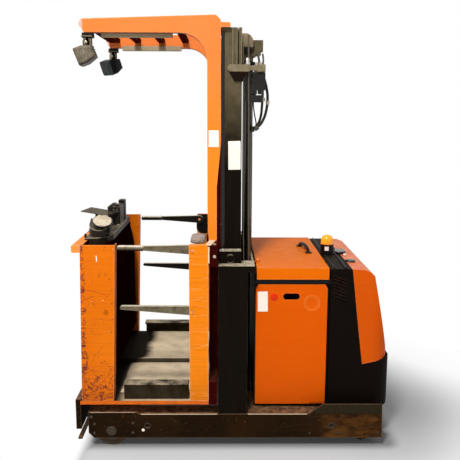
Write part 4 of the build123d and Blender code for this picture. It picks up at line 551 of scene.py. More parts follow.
ARM = arm_material()
MAST = mast_material()
LAMP = lamp_material()
FLOOR_PLATE = floor_plate_material()
MAT = platform_material()
AMBER = lens_material("amber_lens", (0.90, 0.33, 0.006), 0.25, 0.10, 0.5)
LENS = lens_material("lamp_lens", (0.004, 0.008, 0.0075), 0.35, 0.0, 0.0)
RED_BAND = lens_material("red_band", (0.50, 0.05, 0.004), 0.3, 0.0, 0.5)

# Material, width of the rounded edges, and the nodes that have them
NODE_LOOKS = (
    (FRAME, 0.003, "chassis_frame fork_carriage"), (FRAME, 0.002, "load_axles"),
    (CASTING, 0.0015, "load_hub_near load_hub_far drive_hub"), (CASTING, 0.003, "drive_unit drive_motor"),
    (ROLLER, 0, "load_tyre_near load_tyre_far castor_wheel_near castor_wheel_far"), (TYRE, 0, "drive_tyre"),
    (BOLT, 0.001, "castor_fork_near castor_fork_far"), (MAST, 0.002, "outer_mast"),
    (MAST, 0.0015, "inner_mast"), (GLOSS, 0.001, "lift_barrels"), (STEEL, 0, "lift_rods"),
    (SHEAVE, 0.001, "chain_pulleys"), (CHAIN, 0, "lift_chains"), (TRIM, 0.001, "body_shell"),
    (LID, 0.004, "battery_lid"), (DOOR, 0, "side_door_near side_door_far"),
    (BLACK, 0.004, "battery power_housing"), (COVER, 0, "rear_cover"), (TRIM, 0.002, "beacon_base"),
    (AMBER, 0, "beacon_dome"), (CAB_FRAME_SHADE, 0.002, "cab_frame"), (FLOOR_PLATE, 0.0015, "cab_floor"),
    (MAT, 0.0015, "floor_mat"), (MAT, 0.004, "sprung_platform"), (PANEL, 0.0015, "console_panels"),
    (CONSOLE_SHADE, 0.003, "console_body"), (COLLAR, 0.0015, "console_collar"),
    (DASH, 0.003, "control_dash control_pod hand_controls"), (POST, 0.002, "cab_posts"),
    (ARM, 0.003, "gate_arm_upper_near gate_arm_upper_far gate_arm_lower_near gate_arm_lower_far"),
    (TOE, 0.003, "toe_boards"), (GUARD, 0.004, "overhead_guard"), (BARS_PAINTED_SHADE, 0.003, "guard_bars"),
    (STRIP, 0.003, "guard_strips"), (LAMP, 0.002, "work_lights"), (GLOSS, 0.003, "steering_disc"),
    (BOARD, 0.001, "writing_board"), (HOSE, 0, "mast_hoses"))


def round_edges(made, width, angle):
    rounding = made.modifiers.new("rounding", "BEVEL")
    rounding.width = width
    rounding.segments = 2
    rounding.limit_method = "ANGLE"
    rounding.angle_limit = math.radians(angle)
    return rounding


def weld_corners(node):
    node.modifiers.new("weld", "WELD").merge_threshold = 0.00002


def dress_nodes():
    for look, bevel, names in NODE_LOOKS:
        for name in names.split():
            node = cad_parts[name]
            if not node.material_slots:
                node.data.materials.append(look)
            for material_slot in node.material_slots:
                material_slot.material = look
            if bevel:
                weld_corners(node)
                round_edges(node, bevel, 35).use_clamp_overlap = True
    for name in ("side_door_near", "side_door_far"):
        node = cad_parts[name]
        weld_corners(node)
        planar = node.modifiers.new("planar", "DECIMATE")
        planar.decimate_type = "DISSOLVE"
        planar.angle_limit = math.radians(2)
        round_edges(node, 0.0025, 35)


dress_nodes()


# Making of the pieces
SIDES = ((-1, "near"), (1, "far"))
UP, TO_NEAR, TO_FAR, TO_REAR = (0, 0, 1), (0, -1, 0), (0, 1, 0), (1, 0, 0)


def circle(sides):
    """Cosine and sine of evenly spaced angles round a circle."""
    return [(math.cos(a), math.sin(a)) for a in (2 * math.pi * i / sides for i in range(sides))]


def closed_circle(sides):
    """The same, with the first one again at the end."""
    return [*circle(sides), (1.0, 0.0)]


class Form:
    """A mesh in the making, put together from prisms, turned forms and tubes."""

    def __init__(self):
        self.bm = bmesh.new()

    def ring(self, points):
        return [self.bm.verts.new(Vector(p)) for p in points]

    def join(self, rings, ends=(True, True)):
        """Faces between rings of as many corners, and over the first and the last ring."""
        for low, high in zip(rings, rings[1:]):
            for index in range(len(low)):
                after = (index + 1) % len(low)
                self.bm.faces.new((low[index], low[after], high[after], high[index]))
        for end, ring in zip(ends, (rings[0], rings[-1])):
            if end:
                self.bm.faces.new(ring)
        return self

    def fan(self, hub, ring):
        for index, corner in enumerate(ring):
            self.bm.faces.new((hub, corner, ring[(index + 1) % len(ring)]))

    def prism(self, corners, along):
        """A flat outline pushed along a vector."""
        return self.join([self.ring(corners), self.ring(Vector(c) + Vector(along) for c in corners)])

    def block(self, low, high, turn=None):
        """A block between two corners, turned about its middle."""
        low, high = Vector(low), Vector(high)
        middle, half = (low + high) / 2, (high - low) / 2
        matrix = turn or Matrix()
        corners = [middle + matrix @ Vector((x * half.x, y * half.y, -half.z)) for x, y in
                   ((-1, -1), (1, -1), (1, 1), (-1, 1))]
        return self.prism(corners, matrix @ Vector((0, 0, 2 * half.z)))

    def turned(self, centre, axis, profile, sides=24):
        """A form turned about an axis, from pairs of radius and height, closed at both ends."""
        axis = Vector(axis).normalized()
        across = axis.orthogonal().normalized()
        other = axis.cross(across)
        return self.join([self.ring(Vector(centre) + axis * height + (across * c + other * s) * radius
                                    for c, s in circle(sides)) for radius, height in profile])

    def tube(self, path, radius, sides=8):
        """A round tube along points; the radius may be one number or one for each point."""
        path = [Vector(p) for p in path]
        across = (path[1] - path[0]).orthogonal().normalized()
        rings = []
        for index, point in enumerate(path):
            along = (path[min(index + 1, len(path) - 1)] - path[max(index - 1, 0)]).normalized()
            across = (across - along * across.dot(along)).normalized()
            other = along.cross(across)
            size = radius if isinstance(radius, float) else radius[index]
            rings.append(self.ring(point + (across * c + other * s) * size for c, s in circle(sides)))
        return self.join(rings)

    def bolt(self, centre, axis, radius, sides=6):
        """Hexagon head, or a round one with more sides, on its washer."""
        washer = ((1.35, 0), (1.35, 0.2), (1.2, 0.3))
        head = ((1.0, 0.25), (1.0, 0.75), (0.8, 0.95))
        self.turned(centre, axis, [(radius * r, radius * h) for r, h in washer], 20)
        return self.turned(centre, axis, [(radius * r, radius * h) for r, h in head], sides)

    def piece(self, name, body, slot, material, soften=0.0, smooth=40.0):
        """Ends the form as a piece that rides the body."""
        bmesh.ops.recalc_face_normals(self.bm, faces=self.bm.faces)
        for face in self.bm.faces:
            face.smooth = True
        mesh = bpy.data.meshes.new(name)
        self.bm.to_mesh(mesh)
        self.bm.free()
        mesh.set_sharp_from_angle(angle=math.radians(smooth))
        mesh.materials.append(material)
        made = bpy.data.objects.new(name, mesh)
        bpy.context.scene.collection.objects.link(made)
        if soften:
            round_edges(made, soften, 40)
        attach(made, body)
        return made


def rounded_loop(corners, radius, steps=4):
    """The corners of a flat outline, each rounded by a quadratic bend."""
    corners = [Vector(c) for c in corners]
    loop = []
    for index, corner in enumerate(corners):
        to_before = corners[index - 1] - corner
        to_after = corners[(index + 1) % len(corners)] - corner
        start = corner + to_before.normalized() * min(radius, to_before.length / 2)
        end = corner + to_after.normalized() * min(radius, to_after.length / 2)
        for step in range(steps + 1):
            t = step / steps
            loop.append(start * (1 - t) ** 2 + corner * 2 * t * (1 - t) + end * t ** 2)
    return loop


def rectangle(left, top, right, bottom):
    return (left, top), (right, top), (right, bottom), (left, bottom)


def plate_on(name, node_name, pixels, thick, body, slot, material=None, corner=0.002):
    """A thin blank plate on a node's face, with its corners at those places of the photograph."""
    points = [surface_at(node_name, px, py) for px, py in pixels]
    first, normal = points[0]
    flat = [p - normal * (p - first).dot(normal) + normal * 0.0004 for p, _ in points]
    form = Form().prism(rounded_loop(flat, corner), normal * thick)
    return form.piece(name, body, slot, material or PLATE, thick * 0.3)


def turned_on(form, node_name, pixel, profile, sides, lift=0.0):
    """Adds a turned form to the node's face at that place of the photograph."""
    point, normal = surface_at(node_name, *pixel)
    return form.turned(point + normal * lift, normal, profile, sides)


def bolts_on(name, node_name, body, slot, material, rows):
    """Hexagon heads on a node's face: two pixels and the radius for each."""
    form = Form()
    for px, py, radius in rows:
        point, normal = surface_at(node_name, px, py)
        form.bolt(point, normal, radius)
    form.piece(name, body, slot, material)


def make_pad():
    """Back pad: crowned, drawn in between its ends, with a sewn welt round it and near each end."""
    low, high = (Vector(c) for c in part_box("back_pad"))
    middle, half = (low + high) / 2, (high - low) / 2
    rows = 44
    form = Form()
    rings = []
    for row in range(rows + 1):
        along = -1 + 2 * row / rows
        end = (1 - min(1.0, abs(along)) ** 7) ** (1 / 3.0)
        waist = 1 - 0.035 * (1 - along * along)
        seam = 0.045 * math.exp(-((abs(along) - 0.80) / 0.022) ** 2)
        ring = []
        for c, s in circle(48):
            x = math.copysign(abs(c) ** 0.55, c) * (1 - 0.12 * max(0.0, s))
            z = math.copysign(abs(s) ** 0.62, s)
            welt = 0.03 * math.exp(-((s - 0.15) / 0.07) ** 2)
            size = max(end * waist - seam - welt, 0.02)
            spot = Vector((x * half.x * size, along * half.y * (0.985 + 0.015 * abs(s)), z * half.z * size))
            crease = noise.noise(spot * 38) * 0.0011 + noise.noise(spot * 110) * 0.0005
            ring.append(middle + spot * 0.988 + Vector((0, 0, crease * size)))
        rings.append(form.ring(ring))
    pad = form.join(rings).piece("back_cushion", "cab", "pad_grey", PAD, smooth=60)
    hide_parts("back_pad")


def make_disc_face():
    """Steering disc: crumpled white skin on its top, and a bead round its black rim."""
    centre = Vector((-0.728, -0.345, 1.216))
    axis = Vector((0.108, -0.451, 0.886)).normalized()
    across = axis.orthogonal().normalized()
    other = axis.cross(across)
    top, reach, rows = 0.0072, 0.0505, 14
    form = Form()
    rings = []
    for row in range(1, rows + 1):
        share = row / rows
        radius = reach * math.sin(share * math.pi / 2)
        ring = []
        for c, s in circle(64):
            out = across * c + other * s
            wave = noise.noise(out * radius * 62 + Vector((3, 1, 7)))
            fold = abs(noise.noise(out * radius * 105 + Vector((9, 2, 4))))
            height = (0.0045 * (0.55 + 0.9 * wave) + 0.0035 * fold) * min(1.0, (1 - share) * 6 + 0.12)
            uneven = 1 + 0.05 * noise.noise(out * 3.1) * share
            ring.append(centre + axis * (top + max(height, 0.0004)) + out * radius * uneven)
        rings.append(form.ring(ring))
    form.fan(form.bm.verts.new(centre + axis * (top + 0.004)), rings[0])
    rings.append(form.ring(v.co - axis * 0.0035 for v in rings[-1]))
    form.join(rings, (False, True)).piece("disc_face", "steering_hand_disc", "disc_wrap", WRAP, smooth=50)
    rim = [centre + axis * 0.0045 + (across * c + other * s) * 0.0535 for c, s in closed_circle(48)]
    Form().tube(rim, 0.0028).piece("disc_rim_bead", "steering_hand_disc", "control_dark", GLOSS, smooth=60)


def make_dash_rims():
    """Pale rubbed rim round the dash's flange, and flared lip on the pod with a bead below it."""
    (left, near, _), (_, _, top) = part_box("control_dash")
    height = top - 0.0035
    half = [Vector((x, y, height)) for x, y in
            ((left, near), (-0.748, near + 0.010), (-0.706, near + 0.066), (-0.684, near + 0.160))]
    path = half + [Vector((p.x, -p.y, height)) for p in reversed(half)]
    fine = [first.lerp(second, step / 6) for first, second in zip(path, path[1:]) for step in range(6)]
    Form().tube([*fine, path[-1]], 0.0042).piece("dash_rim", "cab", "control_dark", RIM, smooth=60)
    pod_low, pod_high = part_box("control_pod")
    radius, middle_x = (pod_high[0] - pod_low[0]) / 2, (pod_high[0] + pod_low[0]) / 2
    lip = []
    for step in range(25):
        angle = math.pi + math.pi * step / 24
        y = radius * (1 + math.sin(angle))
        lip.append(Vector((middle_x + radius * math.cos(angle), pod_low[1] + y, top + 0.035 + 0.5 * y)))
    away = Vector((0, 0.05, 0.025))
    lip = [lip[0] + away, *lip, lip[-1] + away]
    Form().tube(lip, 0.0026).piece("pod_lip", "cab", "control_dark", RIM, smooth=60)
    hub = Vector((middle_x, pod_low[1] + radius, 0))
    groove = []
    for p in lip:
        out = Vector((p.x, p.y, 0)) - hub
        groove.append(p - Vector((0, 0, 0.030)) + out.normalized() * 0.004)
    Form().tube(groove, 0.0016, 6).piece("pod_groove_bead", "cab", "control_dark", DASH, smooth=60)


def make_hand_details():
    """Caps, buttons, keys and ribs of the hand controls; plate, button and peg on the dash."""
    knob = Vector((-0.739, -0.015, 1.206))
    to_eye = Vector((0.1, -0.55, 0.8)).normalized()
    cap = ((0.0105, 0), (0.0100, 0.0035), (0.0070, 0.0050), (0.0020, 0.0056))
    form = Form().turned(knob + to_eye * 0.0135, to_eye, cap, 20)
    form.piece("knob_cap", "cab", "control_dark", BOARD, smooth=50)
    arm_end = Vector((-0.700, 0.045, 1.212))
    bend = knob.lerp(arm_end, 0.5) + Vector((0, 0, 0.004))
    form = Form().tube([knob, bend, arm_end], (0.011, 0.012, 0.015), 14)
    form.piece("knob_arm", "cab", "control_dark", DASH, smooth=50)
    form = Form()
    for px, py, radius in ((113.5, 209.7, 0.0042), (117.0, 209.7, 0.0042), (115.2, 207.0, 0.003)):
        profile = ((radius, 0), (radius, 0.0025), (radius * 0.7, 0.0035))
        turned_on(form, "hand_controls", (px, py), profile, 14)
    form.piece("block_buttons", "cab", "control_dark", RIM)
    block_corner = Vector((-0.766, 0.030, 1.246))
    form = Form()
    for x, y, wide, deep, high in ((0.010, 0.02, 0.020, 0.03, 0.008), (0.040, 0.03, 0.026, 0.05, 0.012),
                                   (0.012, 0.085, 0.024, 0.06, 0.010), (0.046, 0.11, 0.020, 0.04, 0.007)):
        form.block(block_corner + Vector((x, y, -0.001)), block_corner + Vector((x + wide, y + deep, high)))
    form.piece("block_keys", "cab", "control_dark", DASH, 0.002)
    form = Form()
    for x in (-0.720, -0.710, -0.700):
        form.tube([(x, y, 1.258) for y in (0.225, 0.2625, 0.300)], 0.0065, 12)
    form.piece("lever_ribs", "cab", "control_dark", DASH, smooth=60)
    plate_px = ((117.2, 226.6), (118.2, 220.8), (123.4, 220.6), (122.6, 226.7))
    plate_on("switch_plate", "control_dash", plate_px, 0.004, "cab", "control_dark", STRIP, 0.006)
    profile = ((0.0085, 0), (0.0085, 0.004), (0.006, 0.007), (0.002, 0.008))
    form = turned_on(Form(), "control_dash", (121.2, 222.4), profile, 18, 0.004)
    form.piece("switch_button", "cab", "control_dark", PLATE)
    (left, near, _), (_, _, top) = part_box("control_dash")
    corner = (left + 0.004, near + 0.008, top)
    form = Form().turned(corner, UP, ((0.006, 0), (0.006, 0.018), (0.0045, 0.022), (0.001, 0.023)), 14)
    form.piece("dash_peg", "cab", "control_dark", TRIM)


def make_lamp(far, name):
    """Glass with its bezel, ribs, knuckle, bolt and foot of one work lamp."""
    tilt, turn = math.radians(21), math.radians(-42) if far else 0.0
    centre = Vector((-0.776, 0.405 if far else -0.405, 2.099))
    matrix = Matrix.Rotation(turn, 3, "Z") @ Matrix.Rotation(-tilt, 3, "Y")
    if far:
        matrix = Matrix(((1, 0, 0), (0, -1, 0), (0, 0, 1))) @ matrix
    across, forward, up = (matrix @ Vector(v) for v in ((0, 1, 0), (-1, 0, 0), UP))

    def finish(form, part, material, soften=0.0):
        form.piece(f"lamp_{part}_{name}", "cab", "lamp_black", material, soften)

    face = centre + forward * 0.0425
    outer = [across * x + up * z for x, z in rectangle(-0.060, -0.046, 0.060, 0.046)]
    bezel = rounded_loop([face + c for c in outer], 0.022, 5)
    opening = rounded_loop([face + c * 0.86 for c in outer], 0.018, 5)
    form = Form()
    rings = [form.ring(p + forward * lift for p in loop)
             for loop, lift in ((bezel, 0.0), (bezel, 0.0022), (opening, 0.0030), (opening, 0.0))]
    finish(form.join([*rings, rings[0]], (False, False)), "bezel", LAMP_SHADE_DARK if far else RIM)
    form = Form()
    steps = 6
    rings = [form.ring(p + forward * 0.001 for p in opening)]
    for share in (1 - step / steps for step in range(steps)):
        lift = 0.0018 + 0.002 * (1 - share * share)
        rings.append(form.ring(face + (p - face) * share + forward * lift for p in opening))
    form.fan(form.bm.verts.new(face + forward * 0.0040), rings[-1])
    finish(form.join(rings, (True, False)), "glass", LENS)
    form = Form()
    for z in (-0.028, -0.014, 0.0, 0.014, 0.028):
        form.tube([centre - forward * 0.0465 + across * x + up * z for x in (-0.040, 0.0, 0.040)], 0.0028)
    finish(form, "ribs", LAMP_SHADE_DARK if far else LAMP)
    knuckle = centre + Vector((0.004, 0, 0.058))
    cheek = ((-0.016, -0.020), (0.018, -0.020), (0.020, 0.006), (0.010, 0.030), (-0.010, 0.030),
             (-0.018, 0.006))
    form = Form()
    for offset in (-0.016, 0.010):
        outline = [knuckle + Vector((x, offset, z)) for x, z in cheek]
        form.prism(rounded_loop(outline, 0.008), (0, 0.006, 0))
    form.turned(knuckle + Vector((0, -0.018, 0)), TO_FAR, ((0.008, 0), (0.008, 0.036)), 20)
    finish(form, "knuckle", PALE if far else OLIVE, 0.0015)
    finish(Form().bolt(knuckle + Vector((0, -0.018, 0.004)), TO_NEAR, 0.0055), "bolt", BOLT)
    foot = Form().block(centre + Vector((-0.020, -0.022, 0.088)), centre + Vector((0.036, 0.022, 0.094)))
    finish(foot, "foot", OLIVE, 0.001)


def make_guard_details():
    """Blank plate on the guard's upright, and a tab on each rear corner."""
    plate_px = rectangle(208.6, 130.3, 218.8, 147.0)
    plate_on("upright_plate", "overhead_guard", plate_px, 0.0012, "cab", "orange_paint")
    (_, near, _), (rear, _, top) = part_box("overhead_guard")
    tab = ((-0.004, -0.062), (0.050, -0.062), (0.050, -0.044), (0.043, -0.038), (-0.004, -0.036))
    for side, name in SIDES:
        form = Form().prism([(rear + x, -near * side, top + z) for x, z in tab], (0, -0.010 * side, 0))
        form.piece("guard_tab_" + name, "cab", "orange_paint", GUARD, 0.001)


def make_post_bolts():
    """Bolts of the cab posts and of the near plate."""
    heads, sockets = Form(), Form()
    for pixel in ((191.8, 251.1), (191.9, 312.3), (193.1, 394.0)):
        point, normal = surface_at("cab_posts", *pixel)
        heads.bolt(point - normal * 0.0086, normal, 0.0085, 20)
        sockets.turned(point + normal * 0.0001, normal, ((0.003, 0), (0.0024, 0.0004)), 12)
    heads.piece("post_bolts_near", "cab", "red_paint", DARK_BOLT)
    sockets.piece("post_bolt_sockets", "cab", "steel_bright", BOLT)
    plate_bolts = ((214.5, 244.6, 0.0062), (214.5, 256.8, 0.0062))
    bolts_on("frame_plate_bolts", "cab_frame", "cab", "steel_bright", BOLT, plate_bolts)
    far_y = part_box("cab_posts")[1][1]
    form = Form()
    for z in (1.098, 0.767, 0.330):
        form.bolt((-0.222, far_y - 0.0086, z), TO_FAR, 0.0085, 20)
    form.piece("post_bolts_far", "cab", "red_paint", DARK_BOLT)


def make_post_plates():
    """A black plate on the far post standing in for the shade on its inner face, and pale plates at the near
    post's top, painted highlights.
    """
    # Painted shade: a black plate where the far post's inner face lies in shade.
    inner_y = 0.532
    plate_px = ((196.4, 216.6), (197.6, 214.2), (207.6, 214.0), (207.6, 233.0), (201.0, 233.6),
                (196.6, 229.0))
    outline = [seen(px, py, inner_y) for px, py in plate_px]
    form = Form().prism(rounded_loop(outline, 0.008), (0, 0.004, 0))
    for px, py in ((205.6, 218.4), (206.2, 224.6)):
        form.bolt(seen(px, py, inner_y), TO_NEAR, 0.007)
    form.piece("far_post_shade_plate", "cab", "red_paint", TRIM)
    # Painted highlights: pale plates where the near post's top and edge catch the light.
    foot_px = ((205.0, 245.3), (209.4, 240.6), (216.4, 240.2), (211.0, 245.6))
    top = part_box("cab_posts")[1][2]
    foot = rounded_loop([seen_z(px, py, top - 0.004) for px, py in foot_px], 0.004)
    Form().prism(foot, (0, 0, 0.003)).piece("upright_foot_highlight", "cab", "orange_paint", PALE_PAINT_HIGHLIGHT)
    edge_px = ((208.2, 247.0), (209.4, 247.0), (209.4, 264.0), (208.2, 262.0))
    form = Form().prism([seen(px, py, -0.5575) for px, py in edge_px], (0, -0.002, 0))
    form.piece("post_edge_highlight", "cab", "orange_paint", PALE_PAINT_HIGHLIGHT, 0.0005)


def make_panel_marks():
    """Paint drip, specks and a star of worn strokes on the console's near panel."""
    drip_px = ((95.6, 255.4), (96.4, 255.6), (97.0, 259.0), (96.9, 262.0), (96.0, 261.4), (95.9, 258.4))
    drip = [surface_at("console_panels", *pixel)[0] + Vector((0, -0.0003, 0)) for pixel in drip_px]
    form = Form().prism(rounded_loop(drip, 0.004), (0, -0.0006, 0))
    form.piece("panel_drip", "cab", "orange_paint", PLATE)
    form = Form()
    for px, py, size in ((102.9, 300.3, 0.0022), (92.0, 301.6, 0.0018), (113.0, 249.2, 0.0016),
                         (109.6, 331.0, 0.0016)):
        turned_on(form, "console_panels", (px, py), ((size, 0), (size * 0.8, 0.0006)), 10, 0.0002)
    form.piece("panel_specks", "cab", "orange_paint", PLATE)
    star_px = (105.5, 312.6)
    form = Form()
    for dx, dy, turn in ((0, 0, 0.4), (1.6, -1.6, 1.2), (2.2, 0.4, 0.1), (-1.4, 1.2, 0.9), (1.2, 2.2, 0.5),
                         (-0.6, -2.0, 1.0)):
        point = surface_at("console_panels", star_px[0] + dx, star_px[1] + dy)[0]
        form.block(point + Vector((-0.006, -0.0007, -0.0014)), point + Vector((0.006, 0.0002, 0.0014)),
                   Matrix.Rotation(turn, 3, "Y"))
    form.piece("panel_star_wear", "cab", "red_paint", CONSOLE_SHADE, 0.0003)


def make_gate_details():
    """Sleeve, collar and end cap on the tube of each upper arm, and the bump on each lower arm."""
    tube_z, tube_r = 1.105, 0.0124
    for _, name in SIDES:
        low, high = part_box("gate_arm_upper_" + name)
        start = Vector((low[0], (low[1] + high[1]) / 2, tube_z))
        collar = ((tube_r, 0.122), (0.0162, 0.123), (0.0162, 0.133), (tube_r, 0.134))
        cap = ((tube_r, 0.001), (0.0136, 0.003), (0.0136, 0.009), (tube_r, 0.011))
        form = Form().turned(start, TO_REAR, collar).turned(start, TO_REAR, cap)
        form.piece("arm_collar_" + name, "gate_upper_" + name, "olive_metal", ARM)
        sleeve = ((0.012, 0.002), (0.0148, 0.005), (0.0148, 0.120), (0.0135, 0.123))
        form = Form().turned((low[0], low[1] + 0.0125, tube_z), TO_REAR, sleeve, 28)
        form.piece("arm_sleeve_" + name, "gate_upper_" + name, "olive_metal", ARM, smooth=60)
        bump = Vector((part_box("gate_arm_lower_" + name)[0][0] + 0.055, start.y, 0.7905))
        form = Form().turned(bump, UP, ((0.007, -0.008), (0.007, 0.002), (0.004, 0.004)), 16)
        form.piece("arm_stop_" + name, "gate_lower_" + name, "olive_metal", ARM)


def make_mast_details():
    """Blank plate, lug bolts and plug, bright channel edges, black front strips as painted shade in the
    front recess, rib edges and the hose sheave.
    """
    plate_px = ((228.2, 141.2), (240.6, 141.0), (240.6, 169.6), (228.4, 169.8))
    plate_on("mast_plate_blank", "outer_mast", plate_px, 0.0012, "chassis", "black_housing")
    lug_bolts = ((223.0, 250.6, 0.010), (237.9, 250.6, 0.010))
    bolts_on("lug_bolts", "outer_mast", "chassis", "steel_bright", BOLT, lug_bolts)
    point, normal = surface_at("outer_mast", 230.3, 258.6)
    ring = [point + normal * 0.0004 + Vector((c, 0, s)) * 0.023 for c, s in closed_circle(40)]
    form = Form().tube(ring, 0.0014, 6)
    form.turned(point, normal, ((0.021, 0), (0.020, 0.0012), (0.006, 0.0022)), 32)
    form.piece("lug_plug", "chassis", "black_housing", MAST)
    form = Form().tube([seen(243.4, y, -0.4006) for y in (34, 140, 261)], 0.0022, 6)
    form.piece("channel_bright_edge", "chassis", "steel_bright", CHANNEL_EDGE)
    top, bottom = (seen(248.6, py, -0.381) for py in (34.5, 262))
    form = Form().tube([top, (top + bottom) / 2, bottom], 0.0045)
    form.piece("inner_channel_edge", "mast_stage", "steel_bright", CHANNEL_EDGE)
    groove = ((0.040, -0.012), (0.046, -0.010), (0.040, -0.004), (0.040, 0.004), (0.046, 0.010),
              (0.040, 0.012))
    form = Form().turned((0.052, -0.160, 2.193), TO_FAR, groove, 40)
    form.piece("hose_sheave", "mast_stage", "steel_bright", SHEAVE)
    # Painted shade: black strips where the mast's front recess and its gap to the guard lie in shade.
    strip = ((-0.0782, 0.990), (-0.0600, 0.990), (-0.0600, 2.208), (-0.0640, 2.214), (-0.0782, 2.214))
    for side, name in SIDES:
        y = 0.4002 * side
        form = Form().prism([(x, y, z) for x, z in strip], (0, 0.002 * side, 0))
        form.piece("mast_recess_shade_strip_" + name, "chassis", "hose_rubber", GLOSS)
        form = Form()
        for x in (-0.019, 0.004, 0.027):
            form.tube([(x, y, z) for z in (2.058, 2.150, 2.238)], 0.0028, 6)
        form.piece("mast_rib_edges_" + name, "chassis", "olive_metal", OLIVE)


def make_mast_head():
    """Crosshead blocks, rods, nuts, valves and pipe ends on the near side of the mast's head."""
    form = Form().block((0.004, -0.322, 2.058), (0.100, -0.150, 2.0745))
    form.block((0.020, -0.340, 2.114), (0.078, -0.170, 2.150))
    form.piece("crosshead_guard", "mast_stage", "black_housing", TRIM, 0.003)
    form = Form().tube([(0.128, -0.300, 2.050), (0.122, -0.300, 2.090), (0.115, -0.300, 2.128)], 0.0062, 12)
    form.tube([(0.145, -0.300, 2.050), (0.146, -0.300, 2.090), (0.142, -0.300, 2.118)], 0.0050, 12)
    form.piece("bright_rod", "chassis", "steel_bright", CHANNEL_EDGE)
    form = Form().bolt(seen(250.6, 45.0, -0.146), TO_NEAR, 0.011)
    form.piece("block_bolt", "mast_stage", "steel_bright", BOLT)
    bracket_top = 2.054
    gland = ((0.020, -0.010), (0.020, 0.004), (0.0185, 0.006))
    form = Form().turned((0.073, -0.243, bracket_top), UP, gland, 6)
    form.piece("barrel_gland_nut", "chassis", "steel_bright", STEEL)
    dome = ((0.015, 0), (0.015, 0.010), (0.011, 0.012), (0.011, 0.026), (0.008, 0.034), (0.003, 0.037))
    form = Form().turned((0.058, -0.385, bracket_top), UP, dome, 18)
    form.piece("domed_nut", "chassis", "steel_bright", STEEL)
    form = Form()
    for x, size in ((0.112, 0.012), (0.132, 0.010)):
        form.turned((x, -0.300, bracket_top), UP, ((size, 0), (size, 0.016), (size * 0.6, 0.018)), 6)
    form.piece("bracket_nuts", "chassis", "steel_bright", BOLT)
    valves = ((0.080, -0.335, 1.925, 0.085, 0.016), (0.112, -0.320, 1.950, 0.060, 0.013),
              (0.090, -0.300, 1.880, 0.060, 0.018), (0.128, -0.315, 1.905, 0.055, 0.012))
    form = Form()
    for x, y, z, length, radius in valves:
        lean, rounded, nut = (0.05, 0, 1), radius * 0.8, radius * 1.18
        body = ((rounded, 0), (radius, 0.006), (radius, length - 0.006), (rounded, length))
        form.turned((x, y, z), lean, body, 16)
        form.turned((x, y, z + length * 0.4), lean, ((nut, 0), (nut, 0.012)), 6)
    form.block((0.048, -0.345, 1.862), (0.142, -0.292, 1.900))
    form.block((0.044, -0.350, 1.905), (0.112, -0.286, 2.0175))
    form.block((0.106, -0.345, 1.925), (0.156, -0.292, 2.0175))
    form.piece("valve_group", "chassis", "black_housing", GLOSS, 0.0012)
    clip = ((0.0095, -0.010), (0.0105, -0.008), (0.0105, 0.008), (0.0095, 0.010))
    form = Form().turned((0.152, -0.230, 1.880), UP, clip, 18).turned((0.175, -0.250, 1.862), UP, clip, 18)
    form.piece("hose_clips", "chassis", "steel_bright", BOLT)
    form = Form()
    for y, z, radius in ((-0.230, 1.722, 0.0115), (-0.250, 1.716, 0.0120), (-0.214, 1.716, 0.007)):
        union = ((radius, 0), (radius, 0.020), (radius * 0.8, 0.024))
        form.turned((0.106, y, z), (0.8, 0, 0.55), union, 6)
    form.piece("hose_unions", "chassis", "steel_bright", CASTING, 0.0008)


# Leaf chains: up from the cab, over the pulley and down to the mast
WHEEL_X, WHEEL_Z, CHAIN_R = 0.046, 2.192, 0.0483
CHAIN_FRONT_LOW, CHAIN_REAR_LOW, CHAIN_Y = 0.884, 1.004, 0.110
LINK_PITCH, LINK_R, LINK_THICK = 0.0254, 0.0055, 0.0022


def chain_point(distance):
    """The point of the chain's path at that distance from its front end."""
    front = WHEEL_Z - CHAIN_FRONT_LOW
    arc = math.pi * CHAIN_R
    if distance < front:
        return Vector((WHEEL_X - CHAIN_R, 0, CHAIN_FRONT_LOW + distance))
    if distance < front + arc:
        angle = math.pi - (distance - front) / CHAIN_R
        return Vector((WHEEL_X + math.cos(angle) * CHAIN_R, 0, WHEEL_Z + math.sin(angle) * CHAIN_R))
    return Vector((WHEEL_X + CHAIN_R, 0, WHEEL_Z - (distance - front - arc)))


def make_chains():
    """Link plates, three and two in turn, and their pins."""
    total = 2 * WHEEL_Z - CHAIN_FRONT_LOW - CHAIN_REAR_LOW + math.pi * CHAIN_R
    for side, name in SIDES:
        form = Form()
        for index in range(int(total / LINK_PITCH)):
            first, second = chain_point(index * LINK_PITCH), chain_point((index + 1) * LINK_PITCH)
            along = (second - first).normalized()
            across = Vector((-along.z, 0, along.x))
            ends = []
            for centre, start in ((first, math.pi / 2), (second, -math.pi / 2)):
                for angle in (start + math.pi * step / 4 for step in range(5)):
                    ends.append(centre + (along * math.cos(angle) + across * math.sin(angle)) * LINK_R)
            for offset in (-0.0062, -0.0002, 0.0058) if index % 2 else (-0.0036, 0.0026):
                shift = Vector((0, CHAIN_Y * side + offset, 0))
                form.prism([p + shift for p in ends], (0, LINK_THICK, 0))
            pin = first + Vector((0, CHAIN_Y * side - 0.0078, 0))
            form.turned(pin, TO_FAR, ((0.0030, 0), (0.0030, 0.0156)), 8)
        form.piece("leaf_chain_" + name, "mast_stage", "steel_bright", CHAIN)


BODY_Y = 0.456


